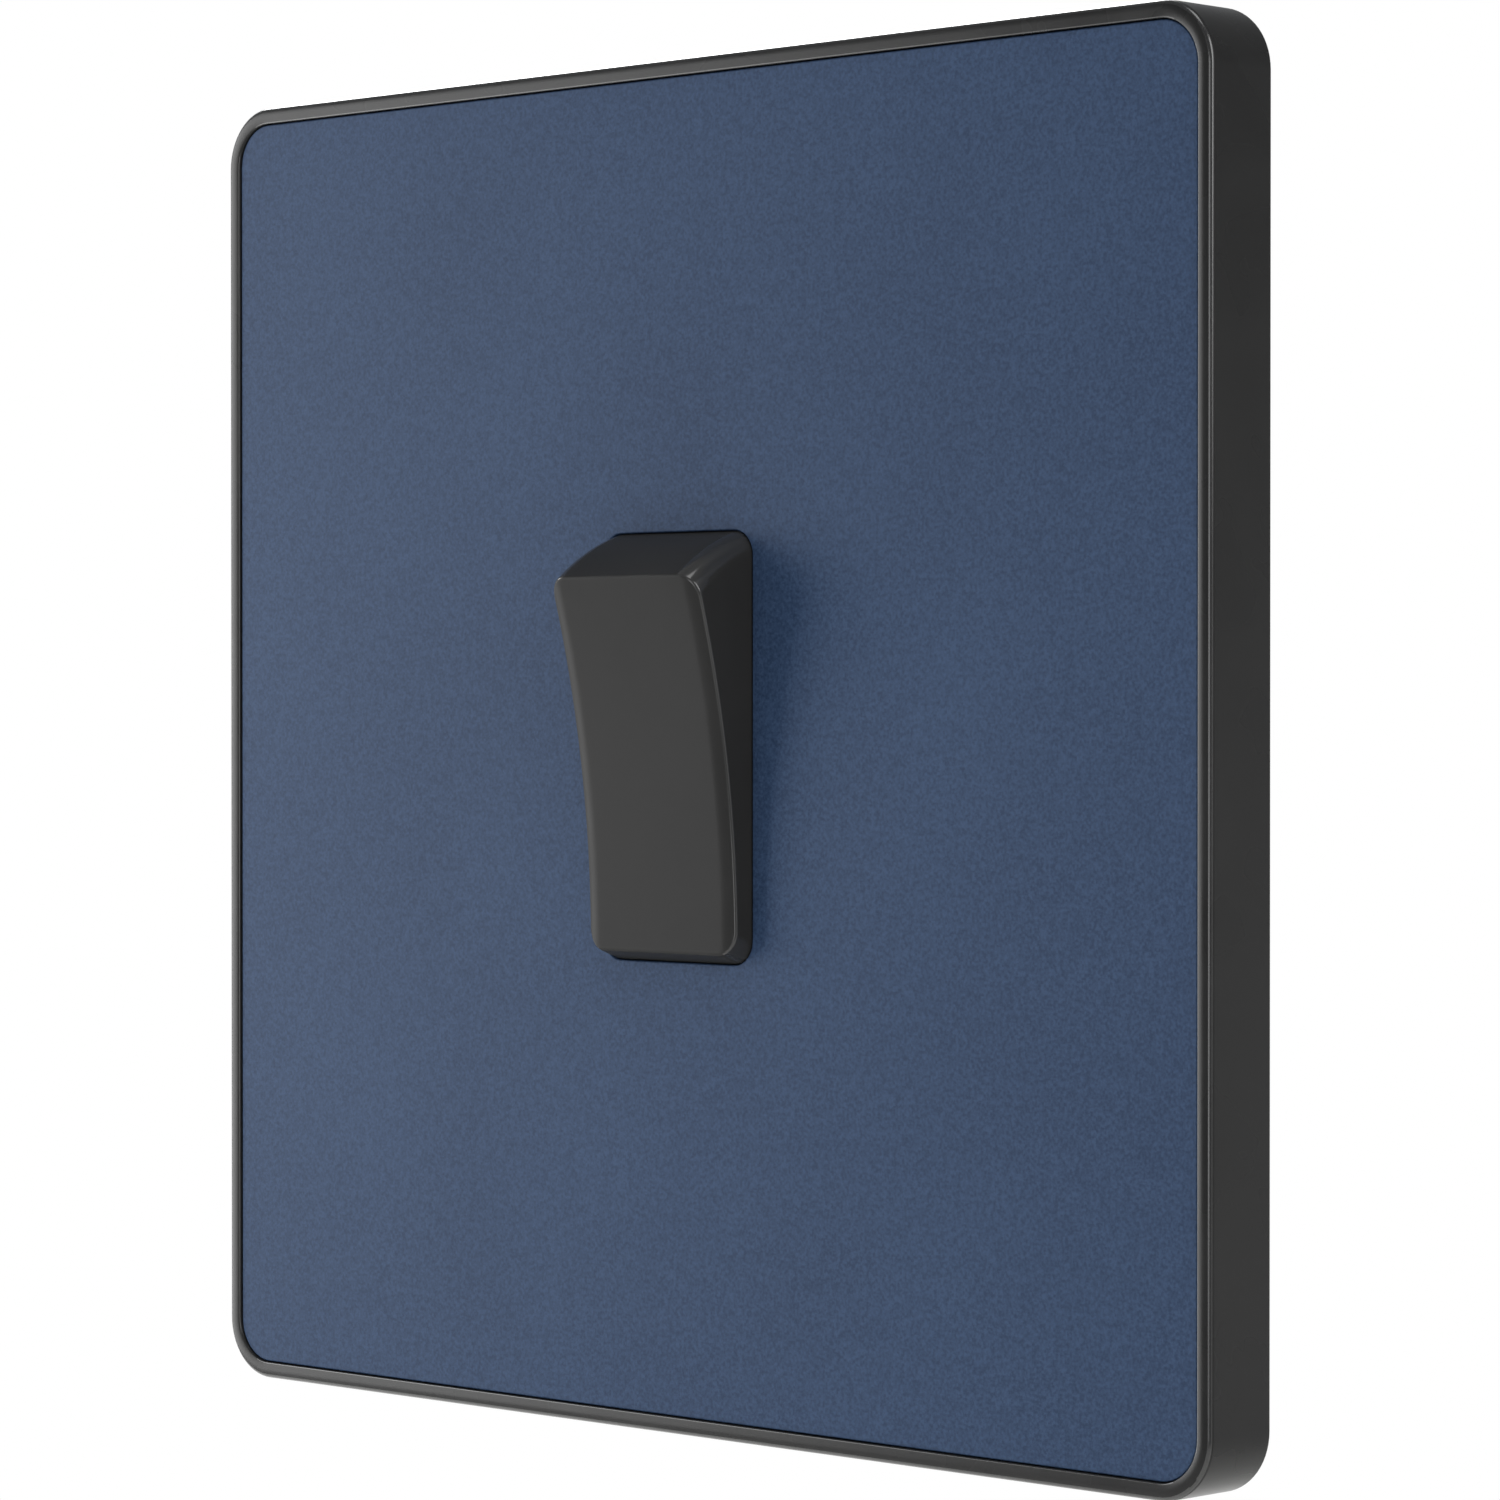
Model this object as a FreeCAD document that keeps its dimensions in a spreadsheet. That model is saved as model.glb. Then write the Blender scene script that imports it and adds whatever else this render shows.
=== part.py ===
import FreeCAD, Part
import math
import os
import re

import Sketcher

# Rocker wall switch: a clip-on front plate over a steel chassis that carries a two-way switch module.
# Millimetres. +Z is up, +X is right and -Y is the front. The origin is the plate's centre on the wall.
# A "level" is a distance in front of the wall plane, so it is -Y, and it is negative inside the wall box.

SIZES = {
    # Surround: the moulded frame that shows as a black edge
    "plate_size": 95.0,
    "surround_depth": 6.1,
    "plate_corner_radius": 4.3,
    "front_edge_radius": 0.38,
    "back_edge_radius": 0.25,
    "lip_width": 1.0,
    "side_wall": 1.6,
    "surround_floor": 1.3,
    # Facia: the coloured plate that sits in the surround
    "facia_gap": 0.25,
    "facia_recess": 0.2,
    "facia_thickness": 0.8,
    "facia_corner_radius": 3.0,
    "aperture_corner_radius": 1.6,
    # Rocker, in its own frame about the pivot
    "rocker_width": 14.3,
    "rocker_end_radius": 15.3,
    "rocker_face_radius": 86.0,
    "rocker_face_height": 7.27,
    "rocker_skirt": 1.0,
    "rocker_tilt": 8.6,
    "rocker_wall": 1.3,
    "rocker_face_wall": 1.6,
    "rocker_edge_radius": 0.65,
    "rocker_corner_radius": 1.3,
    "rocker_side_gap": 0.25,
    "rocker_end_gap": 0.18,
    "rib_thickness": 1.2,
    "rib_offset": 8.4,
    "pivot_depth": 4.6,
    "pivot_radius": 1.5,
    "pivot_length": 1.85,
    "running_gap": 0.08,
    # Plunger and its spring
    "plunger_radius": 1.6,
    "plunger_length": 8.1,
    "plunger_reach": 9.5,
    "plunger_tip_gap": 0.1,
    "plunger_fit": 0.05,
    "boss_wall": 1.25,
    "boss_length": 4.5,
    "spring_wire": 0.35,
    "spring_coils": 6.0,
    "spring_side_gap": 0.25,
    "bore_roof": 1.2,
    # Chassis plate and its screws
    "chassis_side_gap": 4.4,
    "chassis_end_gap": 9.4,
    "chassis_thickness": 1.2,
    "chassis_corner_radius": 3.0,
    "chassis_flange": 1.8,
    "fixing_centres": 60.3,
    "fixing_radius": 1.75,
    "fixing_neck_radius": 1.35,
    "fixing_hole_gap": 0.2,
    "fixing_length": 19.2,
    "fixing_head_radius": 3.3,
    "fixing_head_height": 2.0,
    # Clips that hold the surround on the chassis
    "clip_inset_x": 5.0,
    "clip_inset_z": 12.5,
    "clip_length": 7.0,
    "clip_sheet": 0.4,
    "clip_height": 2.2,
    "rib_sheet": 0.8,
    "clip_side_gap": 0.1,
    # Module: front case with its nose, and the rear base
    "nose_wall": 2.1,
    "well_side_gap": 0.35,
    "well_end_gap": 0.3,
    "nose_gap": 0.2,
    "nose_fit": 0.3,
    "module_width": 36.0,
    "module_height": 46.0,
    "module_corner_radius": 2.0,
    "base_depth": 8.4,
    "partition_thickness": 1.2,
    "skirt_gap": 0.5,
    "slot_gap": 0.5,
    "hook_reach": 1.1,
    "hook_thickness": 1.2,
    "hook_width": 4.0,
    "hook_offset": 5.0,
    "hook_gap": 0.05,
    # Contacts
    "blade_ratio": 0.9,
    "blade_thickness": 0.6,
    "blade_width": 5.6,
    "blade_end": 0.4,
    "contact_arm": 7.5,
    "tip_radius": 1.5,
    "tip_height": 0.8,
    "dome_radius": 2.5,
    "contact_gap": 0.1,
    "fixed_tip_radius": 1.7,
    "fixed_tip_height": 0.8,
    "strip_thickness": 0.8,
    "strip_width": 5.0,
    "strip_start": 5.6,
    "strip_overlap": 4.0,
    "cradle_width": 4.0,
    "common_offset": 7.0,
    "knife_width": 1.6,
    "knife_gap": 0.05,
    "ear_thickness": 0.8,
    "ear_depth": 2.4,
    "ear_height": 0.6,
    "ear_gap": 0.3,
    "chamber_gap": 1.3,
    "channel_gap": 0.2,
    # Terminals and their screws
    "terminal_width": 7.0,
    "terminal_length": 9.0,
    "terminal_depth": 7.5,
    "terminal_gap": 0.1,
    "conductor_radius": 1.9,
    "conductor_depth": 7.5,
    "conductor_roof": 1.2,
    "clamp_screw_radius": 1.5,
    "clamp_screw_backout": 0.15,
    "clamp_head_radius": 2.1,
    "clamp_head_height": 1.6,
    "clamp_from_mouth": 4.0,
    "barrier_thickness": 1.0,
    "barrier_height": 1.5,
    "barrier_gap": 0.5,
    "barrier_inset": 0.6,
    "panel_width": 18.0,
    "panel_height": 14.0,
    "panel_depth": 0.4,
    "panel_offset": 4.0,
    "thread_gap": 0.05,
    "earth_side_gap": 6.5,
    "earth_inset_z": 11.5,
    "rivet_radius": 1.4,
    "rivet_head_radius": 2.4,
    "rivet_head_height": 0.8,
    "rivet_depth": 1.0,
    # Screws that join case and base
    "case_screw_inset": 3.5,
    "case_screw_radius": 1.1,
    "case_screw_bite": 7.0,
    "case_head_radius": 2.1,
    "case_head_height": 1.6,
    "counterbore_depth": 2.2,
    "head_side_gap": 0.3,
    # Screwdriver slots
    "slot_width": 0.8,
    "slot_depth": 0.7,
}

# Levels and places that follow from the sizes. Each is an expression of sizes and of names above it.
DERIVED = {
    "facia_front": "surround_depth - facia_recess",
    "facia_back": "facia_front - facia_thickness",
    "floor_back": "facia_back - surround_floor",
    "recess_size": "plate_size - 2 * lip_width",
    "hollow_size": "plate_size - 2 * side_wall",
    "facia_size": "recess_size - 2 * facia_gap",
    "chassis_width": "hollow_size - 2 * chassis_side_gap",
    "chassis_height": "hollow_size - 2 * chassis_end_gap",
    "clip_offset_x": "chassis_width / 2 - clip_inset_x",
    "clip_offset_z": "chassis_height / 2 - clip_inset_z",
    "earth_offset_x": "module_width / 2 + earth_side_gap",
    "earth_offset_z": "chassis_height / 2 - earth_inset_z",
    "case_screw_x": "module_width / 2 - case_screw_inset",
    "case_screw_z": "module_height / 2 - case_screw_inset",
    "pivot_level": "surround_depth - pivot_depth",
    "pivot_to_facia": "facia_back - pivot_level",
    "aperture_width": "rocker_width + 2 * rocker_side_gap",
    "aperture_height": "2 * (sqrt(rocker_end_radius^2 - pivot_to_facia^2) + rocker_end_gap)",
    "well_width": "rocker_width + 2 * well_side_gap",
    "well_height": "2 * (rocker_end_radius + well_end_gap)",
    "nose_width": "well_width + 2 * nose_wall",
    "nose_height": "well_height + 2 * nose_wall",
    "nose_front": "facia_back - nose_gap",
    "nose_opening_width": "nose_width + 2 * nose_fit",
    "nose_opening_height": "nose_height + 2 * nose_fit",
    "plunger_bore": "plunger_radius + plunger_fit",
    "boss_radius": "plunger_bore + boss_wall",
    "bore_top": "rocker_face_height - bore_roof - rocker_face_wall",
    "plunger_tip": "plunger_reach - plunger_tip_gap",
    "plunger_end": "plunger_tip - plunger_length",
    "blade_front": "pivot_level - plunger_reach",
    "fulcrum_level": "blade_front - blade_thickness",
    "blade_tilt": "rocker_tilt * blade_ratio",
    "blade_length": "2 * (contact_arm + tip_radius + blade_end)",
    "dome_centre": "dome_radius - tip_height",
    "closed_depth": "contact_arm * sin(blade_tilt) - dome_centre * cos(blade_tilt) + dome_radius",
    "closed_arm": "contact_arm * cos(blade_tilt) + dome_centre * sin(blade_tilt)",
    "fixed_tip_front": "fulcrum_level - closed_depth - contact_gap",
    "strip_front": "fixed_tip_front - fixed_tip_height",
    "base_front": "strip_front - strip_thickness",
    "base_back": "base_front - base_depth",
    "skirt_sweep": "rocker_end_radius * sin(rocker_tilt) + rocker_skirt * cos(rocker_tilt)",
    "partition_front": "pivot_level - skirt_sweep - skirt_gap",
    "partition_back": "partition_front - partition_thickness",
    "slot_half_width": "boss_radius + slot_gap",
    "slot_half_height": "boss_radius + slot_gap + boss_length * sin(rocker_tilt)",
    "chamber_width": "blade_width + 2 * (ear_gap + ear_thickness + chamber_gap)",
    "chamber_height": "blade_length + 2 * chamber_gap",
    "conductor_axis": "conductor_roof + conductor_radius",
    "strip_end": "module_height / 2 - terminal_length + strip_overlap",
    "common_end": "module_width / 2 - terminal_length + strip_overlap",
    "counterbore_level": "base_back + counterbore_depth",
    "barrier_offset": "terminal_width / 2 + terminal_gap + barrier_gap + barrier_thickness / 2",
    "rib_end": "chassis_thickness + clip_sheet + clip_side_gap",
}

doc = FreeCAD.newDocument("rocker_wall_switch")
sheet = doc.addObject("Spreadsheet::Sheet", "Sizes")


def fill_sheet():
    """One row for each driving size: its name, and its value in a cell of that name."""
    for row, (name, value) in enumerate(SIZES.items(), start=1):
        sheet.set(f"A{row}", name)
        sheet.set(f"B{row}", str(value))
        sheet.setAlias(f"B{row}", name)
    doc.recompute()


def formula(text):
    """The expression with derived names written out and sizes pointing at the sheet."""
    def expand(match):
        word = match.group()
        if word in DERIVED:
            return f"({formula(DERIVED[word])})"
        return f"Sizes.{word}" if word in SIZES else word

    return re.sub(r"[a-z_]+", expand, str(text))


def number(text):
    """The present value of an expression."""
    result = sheet.evalExpression(formula(text))
    return float(getattr(result, "Value", result))


def bind(item, prop, text):
    item.setExpression(prop, formula(text))


# ---------------------------------------------------------------- PartDesign helpers


def new_body(name):
    body = doc.addObject("PartDesign::Body", name)
    body.Label = name
    return body


def sketch_on(body, role, name, offset="0"):
    """A sketch on one of the body's origin planes, moved along that plane's normal."""
    sketch = body.newObject("Sketcher::SketchObject", f"{body.Name}_{name}")
    plane = next(item for item in body.Origin.OriginFeatures if item.Role == role)
    sketch.AttachmentSupport = [(plane, "")]
    sketch.MapMode = "FlatFace"
    bind(sketch, "AttachmentOffset.Base.z", offset)
    return sketch


def constrain(sketch, value, *definition):
    """Adds a dimension that stays bound to its expression."""
    index = sketch.addConstraint(Sketcher.Constraint(*definition, number(value)))
    bind(sketch, f"Constraints[{index}]", value)


def pin_point(sketch, geometry, vertex, x, y):
    """Fixes a point at x, y in the sketch."""
    for value, kind, axis in ((x, "DistanceX", -2), (y, "DistanceY", -1)):
        if value == "0":
            sketch.addConstraint(Sketcher.Constraint("PointOnObject", geometry, vertex, axis))
        else:
            constrain(sketch, value, kind, -1, 1, geometry, vertex)


def circle(sketch, radius, x="0", y="0"):
    centre = FreeCAD.Vector(number(x), number(y), 0)
    index = sketch.addGeometry(Part.Circle(centre, FreeCAD.Vector(0, 0, 1), number(radius)))
    constrain(sketch, radius, "Radius", index)
    pin_point(sketch, index, 3, x, y)


def polygon(sketch, points):
    """A closed outline of straight lines through the points."""
    corners = [FreeCAD.Vector(number(x), number(y), 0) for x, y in points]
    first = sketch.GeometryCount
    count = len(points)
    for index in range(count):
        sketch.addGeometry(Part.LineSegment(corners[index], corners[(index + 1) % count]))
    for index in range(count):
        following = first + (index + 1) % count
        sketch.addConstraint(Sketcher.Constraint("Coincident", first + index, 2, following, 1))
    for index, (x, y) in enumerate(points):
        pin_point(sketch, first + index, 1, x, y)


def rectangle(sketch, width, height, x="0", y="0"):
    """A rectangle centred on x, y."""
    left, right = f"{x} - ({width}) / 2", f"{x} + ({width}) / 2"
    low, high = f"{y} - ({height}) / 2", f"{y} + ({height}) / 2"
    polygon(sketch, [(left, low), (right, low), (right, high), (left, high)])


def rounded_rectangle(sketch, width, height, radius):
    """A rectangle about the sketch's origin with four equal round corners."""
    half_w, half_h, corner = number(width) / 2, number(height) / 2, number(radius)
    inner_w, inner_h = half_w - corner, half_h - corner
    signs = [(1, 1), (-1, 1), (-1, -1), (1, -1)]
    arcs = []
    for turn, (sx, sy) in enumerate(signs):
        centre = FreeCAD.Vector(sx * inner_w, sy * inner_h, 0)
        ring = Part.Circle(centre, FreeCAD.Vector(0, 0, 1), corner)
        start = turn * math.pi / 2
        arcs.append(sketch.addGeometry(Part.ArcOfCircle(ring, start, start + math.pi / 2)))
    lines = []
    for index in range(4):
        start = sketch.getPoint(arcs[index], 2)
        end = sketch.getPoint(arcs[(index + 1) % 4], 1)
        lines.append(sketch.addGeometry(Part.LineSegment(start, end)))
    for index in range(4):
        sketch.addConstraint(Sketcher.Constraint("Tangent", arcs[index], 2, lines[index], 1))
        sketch.addConstraint(Sketcher.Constraint("Tangent", lines[index], 2, arcs[(index + 1) % 4], 1))
    for index in (0, 2):
        sketch.addConstraint(Sketcher.Constraint("Horizontal", lines[index]))
        sketch.addConstraint(Sketcher.Constraint("Vertical", lines[index + 1]))
    for index in (1, 2, 3):
        sketch.addConstraint(Sketcher.Constraint("Equal", arcs[0], arcs[index]))
    sketch.addConstraint(Sketcher.Constraint("Symmetric", arcs[0], 3, arcs[2], 3, -1, 1))
    constrain(sketch, radius, "Radius", arcs[0])
    constrain(sketch, f"({width}) / 2 - ({radius})", "DistanceX", -1, 1, arcs[0], 3)
    constrain(sketch, f"({height}) / 2 - ({radius})", "DistanceY", -1, 1, arcs[0], 3)


def pad(body, sketch, length, both_ways=False, backwards=False):
    """Raises a sketch along its plane's normal, the other way, or half each way."""
    feature = body.newObject("PartDesign::Pad", f"{sketch.Name}_pad")
    feature.Profile = sketch
    bind(feature, "Length", length)
    feature.SideType = "Symmetric" if both_ways else "One side"
    feature.Reversed = backwards
    sketch.Visibility = False
    doc.recompute()
    return feature


def pocket(body, sketch, length, both_ways=False, backwards=False):
    """Cuts a sketch against its plane's normal, the other way, or half each way."""
    before = body.Shape.Volume
    feature = body.newObject("PartDesign::Pocket", f"{sketch.Name}_pocket")
    feature.Profile = sketch
    bind(feature, "Length", length)
    feature.SideType = "Symmetric" if both_ways else "One side"
    feature.Reversed = backwards
    doc.recompute()
    if not body.Shape.Volume < before:
        raise RuntimeError(f"{feature.Name} cuts nothing")
    return feature


def fillet_edges(body, radius, chosen):
    """Rounds every edge of the body for which chosen(edge) holds."""
    names = [f"Edge{i}" for i, edge in enumerate(body.Tip.Shape.Edges, start=1) if chosen(edge)]
    base = body.Tip
    feature = body.newObject("PartDesign::Fillet", f"{body.Name}_fillet_{len(body.Group)}")
    feature.Base = (base, names)
    bind(feature, "Radius", radius)
    doc.recompute()
    return feature


def on_level(edge, level):
    """Whether an edge lies wholly at one level."""
    box = edge.BoundBox
    return abs(box.YMin + number(level)) < 1e-4 and abs(box.YMax + number(level)) < 1e-4


# ---------------------------------------------------------------- Part helpers


def box(name, x, y, z):
    """A block between low and high coordinates, each pair given as expressions."""
    block = doc.addObject("Part::Box", name)
    for axis, side, (low, high) in zip("xyz", ("Length", "Width", "Height"), (x, y, z)):
        bind(block, side, f"({high}) - ({low})")
        bind(block, f"Placement.Base.{axis}", low)
    return block


def rod(name, radius, length, base, direction):
    """A cylinder from a base point along a direction."""
    cylinder = doc.addObject("Part::Cylinder", name)
    bind(cylinder, "Radius", radius)
    bind(cylinder, "Height", length)
    cylinder.Placement.Rotation = FreeCAD.Rotation(FreeCAD.Vector(0, 0, 1), FreeCAD.Vector(*direction))
    for axis, place in zip("xyz", base):
        bind(cylinder, f"Placement.Base.{axis}", place)
    return cylinder


def fuse(name, *items):
    feature = doc.addObject("Part::MultiFuse", name)
    feature.Shapes = list(items)
    return feature


def cut(name, base, tool):
    feature = doc.addObject("Part::Cut", name)
    feature.Base = base
    feature.Tool = tool
    return feature


def group(name, items):
    """Separate solids kept together under one name."""
    feature = doc.addObject("Part::Compound", name)
    feature.Links = list(items)
    feature.Label = name
    return feature


BACK = (0, 1, 0)
FRONT = (0, -1, 0)


def screw(name, x, z, seat_level, toward, head, shank, neck=None):
    """A slotted screw whose head stands off its seat towards the driver; head, shank and neck are (radius, length).

    The neck is the plain, thinner length under the head of a screw that is kept in its plate.
    """
    sign = "-" if toward == FRONT else "+"
    away = BACK if toward == FRONT else FRONT
    seat = f"-({seat_level})"
    head_rod = rod(f"{name}_head", head[0], head[1], (x, seat, z), toward)
    shank_rods = [rod(f"{name}_shank", shank[0], shank[1], (x, seat, z), away)]
    if neck:
        step = "+" if away == BACK else "-"
        start = f"{seat} {step} ({neck[1]})"
        shank_rods = [
            rod(f"{name}_neck", neck[0], neck[1], (x, seat, z), away),
            rod(f"{name}_shank", shank[0], f"{shank[1]} - ({neck[1]})", (x, start, z), away),
        ]
    outer = f"{seat} {sign} ({head[1]})"
    inner = f"{outer} {'+' if toward == FRONT else '-'} slot_depth"
    depths = (outer, inner) if toward == FRONT else (inner, outer)
    slot = box(
        f"{name}_slot",
        (f"{x} - ({head[0]})", f"{x} + ({head[0]})"),
        depths,
        (f"{z} - slot_width / 2", f"{z} + slot_width / 2"),
    )
    return cut(name, fuse(f"{name}_blank", head_rod, *shank_rods), slot)


# ---------------------------------------------------------------- front cover


def make_surround():
    """Moulded frame: a lip round the facia, a floor behind it, and ribs that push into the clips."""
    body = new_body("surround")
    outline = sketch_on(body, "XZ_Plane", "outline")
    rounded_rectangle(outline, "plate_size", "plate_size", "plate_corner_radius")
    pad(body, outline, "surround_depth")
    fillet_edges(body, "front_edge_radius", lambda edge: on_level(edge, "surround_depth"))
    fillet_edges(body, "back_edge_radius", lambda edge: on_level(edge, "0"))

    recess = sketch_on(body, "XZ_Plane", "recess", "surround_depth")
    rounded_rectangle(recess, "recess_size", "recess_size", "facia_corner_radius + facia_gap")
    pocket(body, recess, "surround_depth - facia_back")

    hollow = sketch_on(body, "XZ_Plane", "hollow")
    rounded_rectangle(hollow, "hollow_size", "hollow_size", "plate_corner_radius - side_wall")
    pocket(body, hollow, "floor_back", backwards=True)

    opening = sketch_on(body, "XZ_Plane", "opening", "facia_back")
    rectangle(opening, "nose_opening_width", "nose_opening_height")
    pocket(body, opening, "surround_floor")

    ribs = sketch_on(body, "XZ_Plane", "ribs", "floor_back")
    for sign_x in ("", "-"):
        for sign_z in ("", "-"):
            rectangle(
                ribs, "rib_sheet", "clip_length", f"{sign_x}clip_offset_x", f"{sign_z}clip_offset_z"
            )
    pad(body, ribs, "floor_back - rib_end", backwards=True)
    return body


def make_facia():
    """Thin coloured plate with the rocker's aperture."""
    body = new_body("facia_plate")
    outline = sketch_on(body, "XZ_Plane", "outline", "facia_back")
    rounded_rectangle(outline, "facia_size", "facia_size", "facia_corner_radius")
    pad(body, outline, "facia_thickness")
    aperture = sketch_on(body, "XZ_Plane", "aperture", "facia_front")
    rounded_rectangle(aperture, "aperture_width", "aperture_height", "aperture_corner_radius")
    pocket(body, aperture, "facia_thickness")
    return body


# ---------------------------------------------------------------- chassis


def make_chassis():
    """Plated steel plate against the wall, with folded side flanges and holes for module and screws."""
    body = new_body("chassis_plate")
    outline = sketch_on(body, "XZ_Plane", "outline")
    rounded_rectangle(outline, "chassis_width", "chassis_height", "chassis_corner_radius")
    pad(body, outline, "chassis_thickness")

    flanges = sketch_on(body, "XZ_Plane", "flanges", "chassis_thickness")
    for sign in ("", "-"):
        rectangle(
            flanges,
            "chassis_thickness",
            "chassis_height - 2 * chassis_corner_radius",
            f"{sign}(chassis_width - chassis_thickness) / 2",
        )
    pad(body, flanges, "chassis_flange")

    opening = sketch_on(body, "XZ_Plane", "opening", "chassis_thickness")
    rectangle(opening, "nose_opening_width", "nose_opening_height")
    pocket(body, opening, "chassis_thickness")

    holes = sketch_on(body, "XZ_Plane", "holes", "chassis_thickness")
    circle(holes, "fixing_radius + fixing_hole_gap", "fixing_centres / 2")
    circle(holes, "fixing_radius + fixing_hole_gap", "-fixing_centres / 2")
    circle(holes, "rivet_radius + thread_gap", "-earth_offset_x", "-earth_offset_z")
    pocket(body, holes, "chassis_thickness")
    return body


def make_facia_clips():
    """Four small spring-steel channels on the chassis that grip the surround's ribs."""
    half_slot = "(rib_sheet / 2 + clip_side_gap)"
    clips = []
    for index, (sx, sz) in enumerate([("", ""), ("-", ""), ("-", "-"), ("", "-")]):
        x, z = f"{sx}clip_offset_x", f"{sz}clip_offset_z"
        z_range = (f"{z} - clip_length / 2", f"{z} + clip_length / 2")
        foot = box(
            f"clip_foot_{index}",
            (f"{x} - {half_slot} - clip_sheet", f"{x} + {half_slot} + clip_sheet"),
            ("-chassis_thickness - clip_sheet", "-chassis_thickness"),
            z_range,
        )
        leaves = []
        for name, low, high in (
            ("low", f"{x} - {half_slot} - clip_sheet", f"{x} - {half_slot}"),
            ("high", f"{x} + {half_slot}", f"{x} + {half_slot} + clip_sheet"),
        ):
            depth = ("-chassis_thickness - clip_height", "-chassis_thickness")
            leaves.append(box(f"clip_leaf_{name}_{index}", (low, high), depth, z_range))
        clips.append(fuse(f"clip_{index}", foot, *leaves))
    return group("facia_clips", clips)


def make_fixing_screws():
    """Two machine screws that draw the chassis onto the wall box, necked where they pass through it."""
    head = ("fixing_head_radius", "fixing_head_height")
    shank = ("fixing_radius", "fixing_length")
    neck = ("fixing_neck_radius", "chassis_thickness")
    places = [("right", "fixing_centres / 2"), ("left", "-fixing_centres / 2")]
    screws = [
        screw(f"fixing_screw_{name}", x, "0", "chassis_thickness", FRONT, head, shank, neck)
        for name, x in places
    ]
    return group("fixing_screws", screws)


# ---------------------------------------------------------------- rocker and plunger


def tilted(item, level, angle):
    """Places a piece modelled about a hinge line at that line, turned to its rest angle."""
    item.Placement.Rotation = FreeCAD.Rotation(FreeCAD.Vector(1, 0, 0), 1)
    bind(item, "Placement.Base.y", f"-({level})")
    bind(item, "Placement.Rotation.Angle", angle)
    return item


def rocker_profile(sketch, end_radius, face_radius, face_height, back):
    """Side outline: dished face, ends concentric with the pivot, and a straight back edge."""
    end, face, height, skirt = (number(text) for text in (end_radius, face_radius, face_height, back))
    centre_y = -(height + face)
    corner_y = (centre_y**2 + end**2 - face**2) / (2 * centre_y)
    corner_z = math.sqrt(end**2 - corner_y**2)
    skirt_z = math.sqrt(end**2 - skirt**2)
    normal = FreeCAD.Vector(0, 0, 1)
    half_face = math.asin(corner_z / face)
    face_ring = Part.Circle(FreeCAD.Vector(centre_y, 0, 0), normal, face)
    end_ring = Part.Circle(FreeCAD.Vector(0, 0, 0), normal, end)
    front = math.atan2(corner_z, corner_y)
    rear = math.atan2(skirt_z, skirt)
    face_arc = sketch.addGeometry(Part.ArcOfCircle(face_ring, -half_face, half_face))
    top_arc = sketch.addGeometry(Part.ArcOfCircle(end_ring, rear, front))
    low_arc = sketch.addGeometry(Part.ArcOfCircle(end_ring, -front, -rear))
    low_corner = FreeCAD.Vector(skirt, -skirt_z, 0)
    back_line = sketch.addGeometry(Part.LineSegment(low_corner, FreeCAD.Vector(skirt, skirt_z, 0)))
    joined = [(face_arc, 2, top_arc, 2), (top_arc, 1, back_line, 2)]
    joined += [(back_line, 1, low_arc, 2), (low_arc, 1, face_arc, 1)]
    joined += [(top_arc, 3, -1, 1), (low_arc, 3, -1, 1)]
    for ends in joined:
        sketch.addConstraint(Sketcher.Constraint("Coincident", *ends))
    sketch.addConstraint(Sketcher.Constraint("PointOnObject", face_arc, 3, -1))
    sketch.addConstraint(Sketcher.Constraint("Vertical", back_line))
    constrain(sketch, end_radius, "Radius", top_arc)
    constrain(sketch, face_radius, "Radius", face_arc)
    constrain(sketch, f"({face_height}) + ({face_radius})", "DistanceX", face_arc, 3, -1, 1)
    constrain(sketch, back, "DistanceX", -1, 1, back_line, 1)


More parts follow.
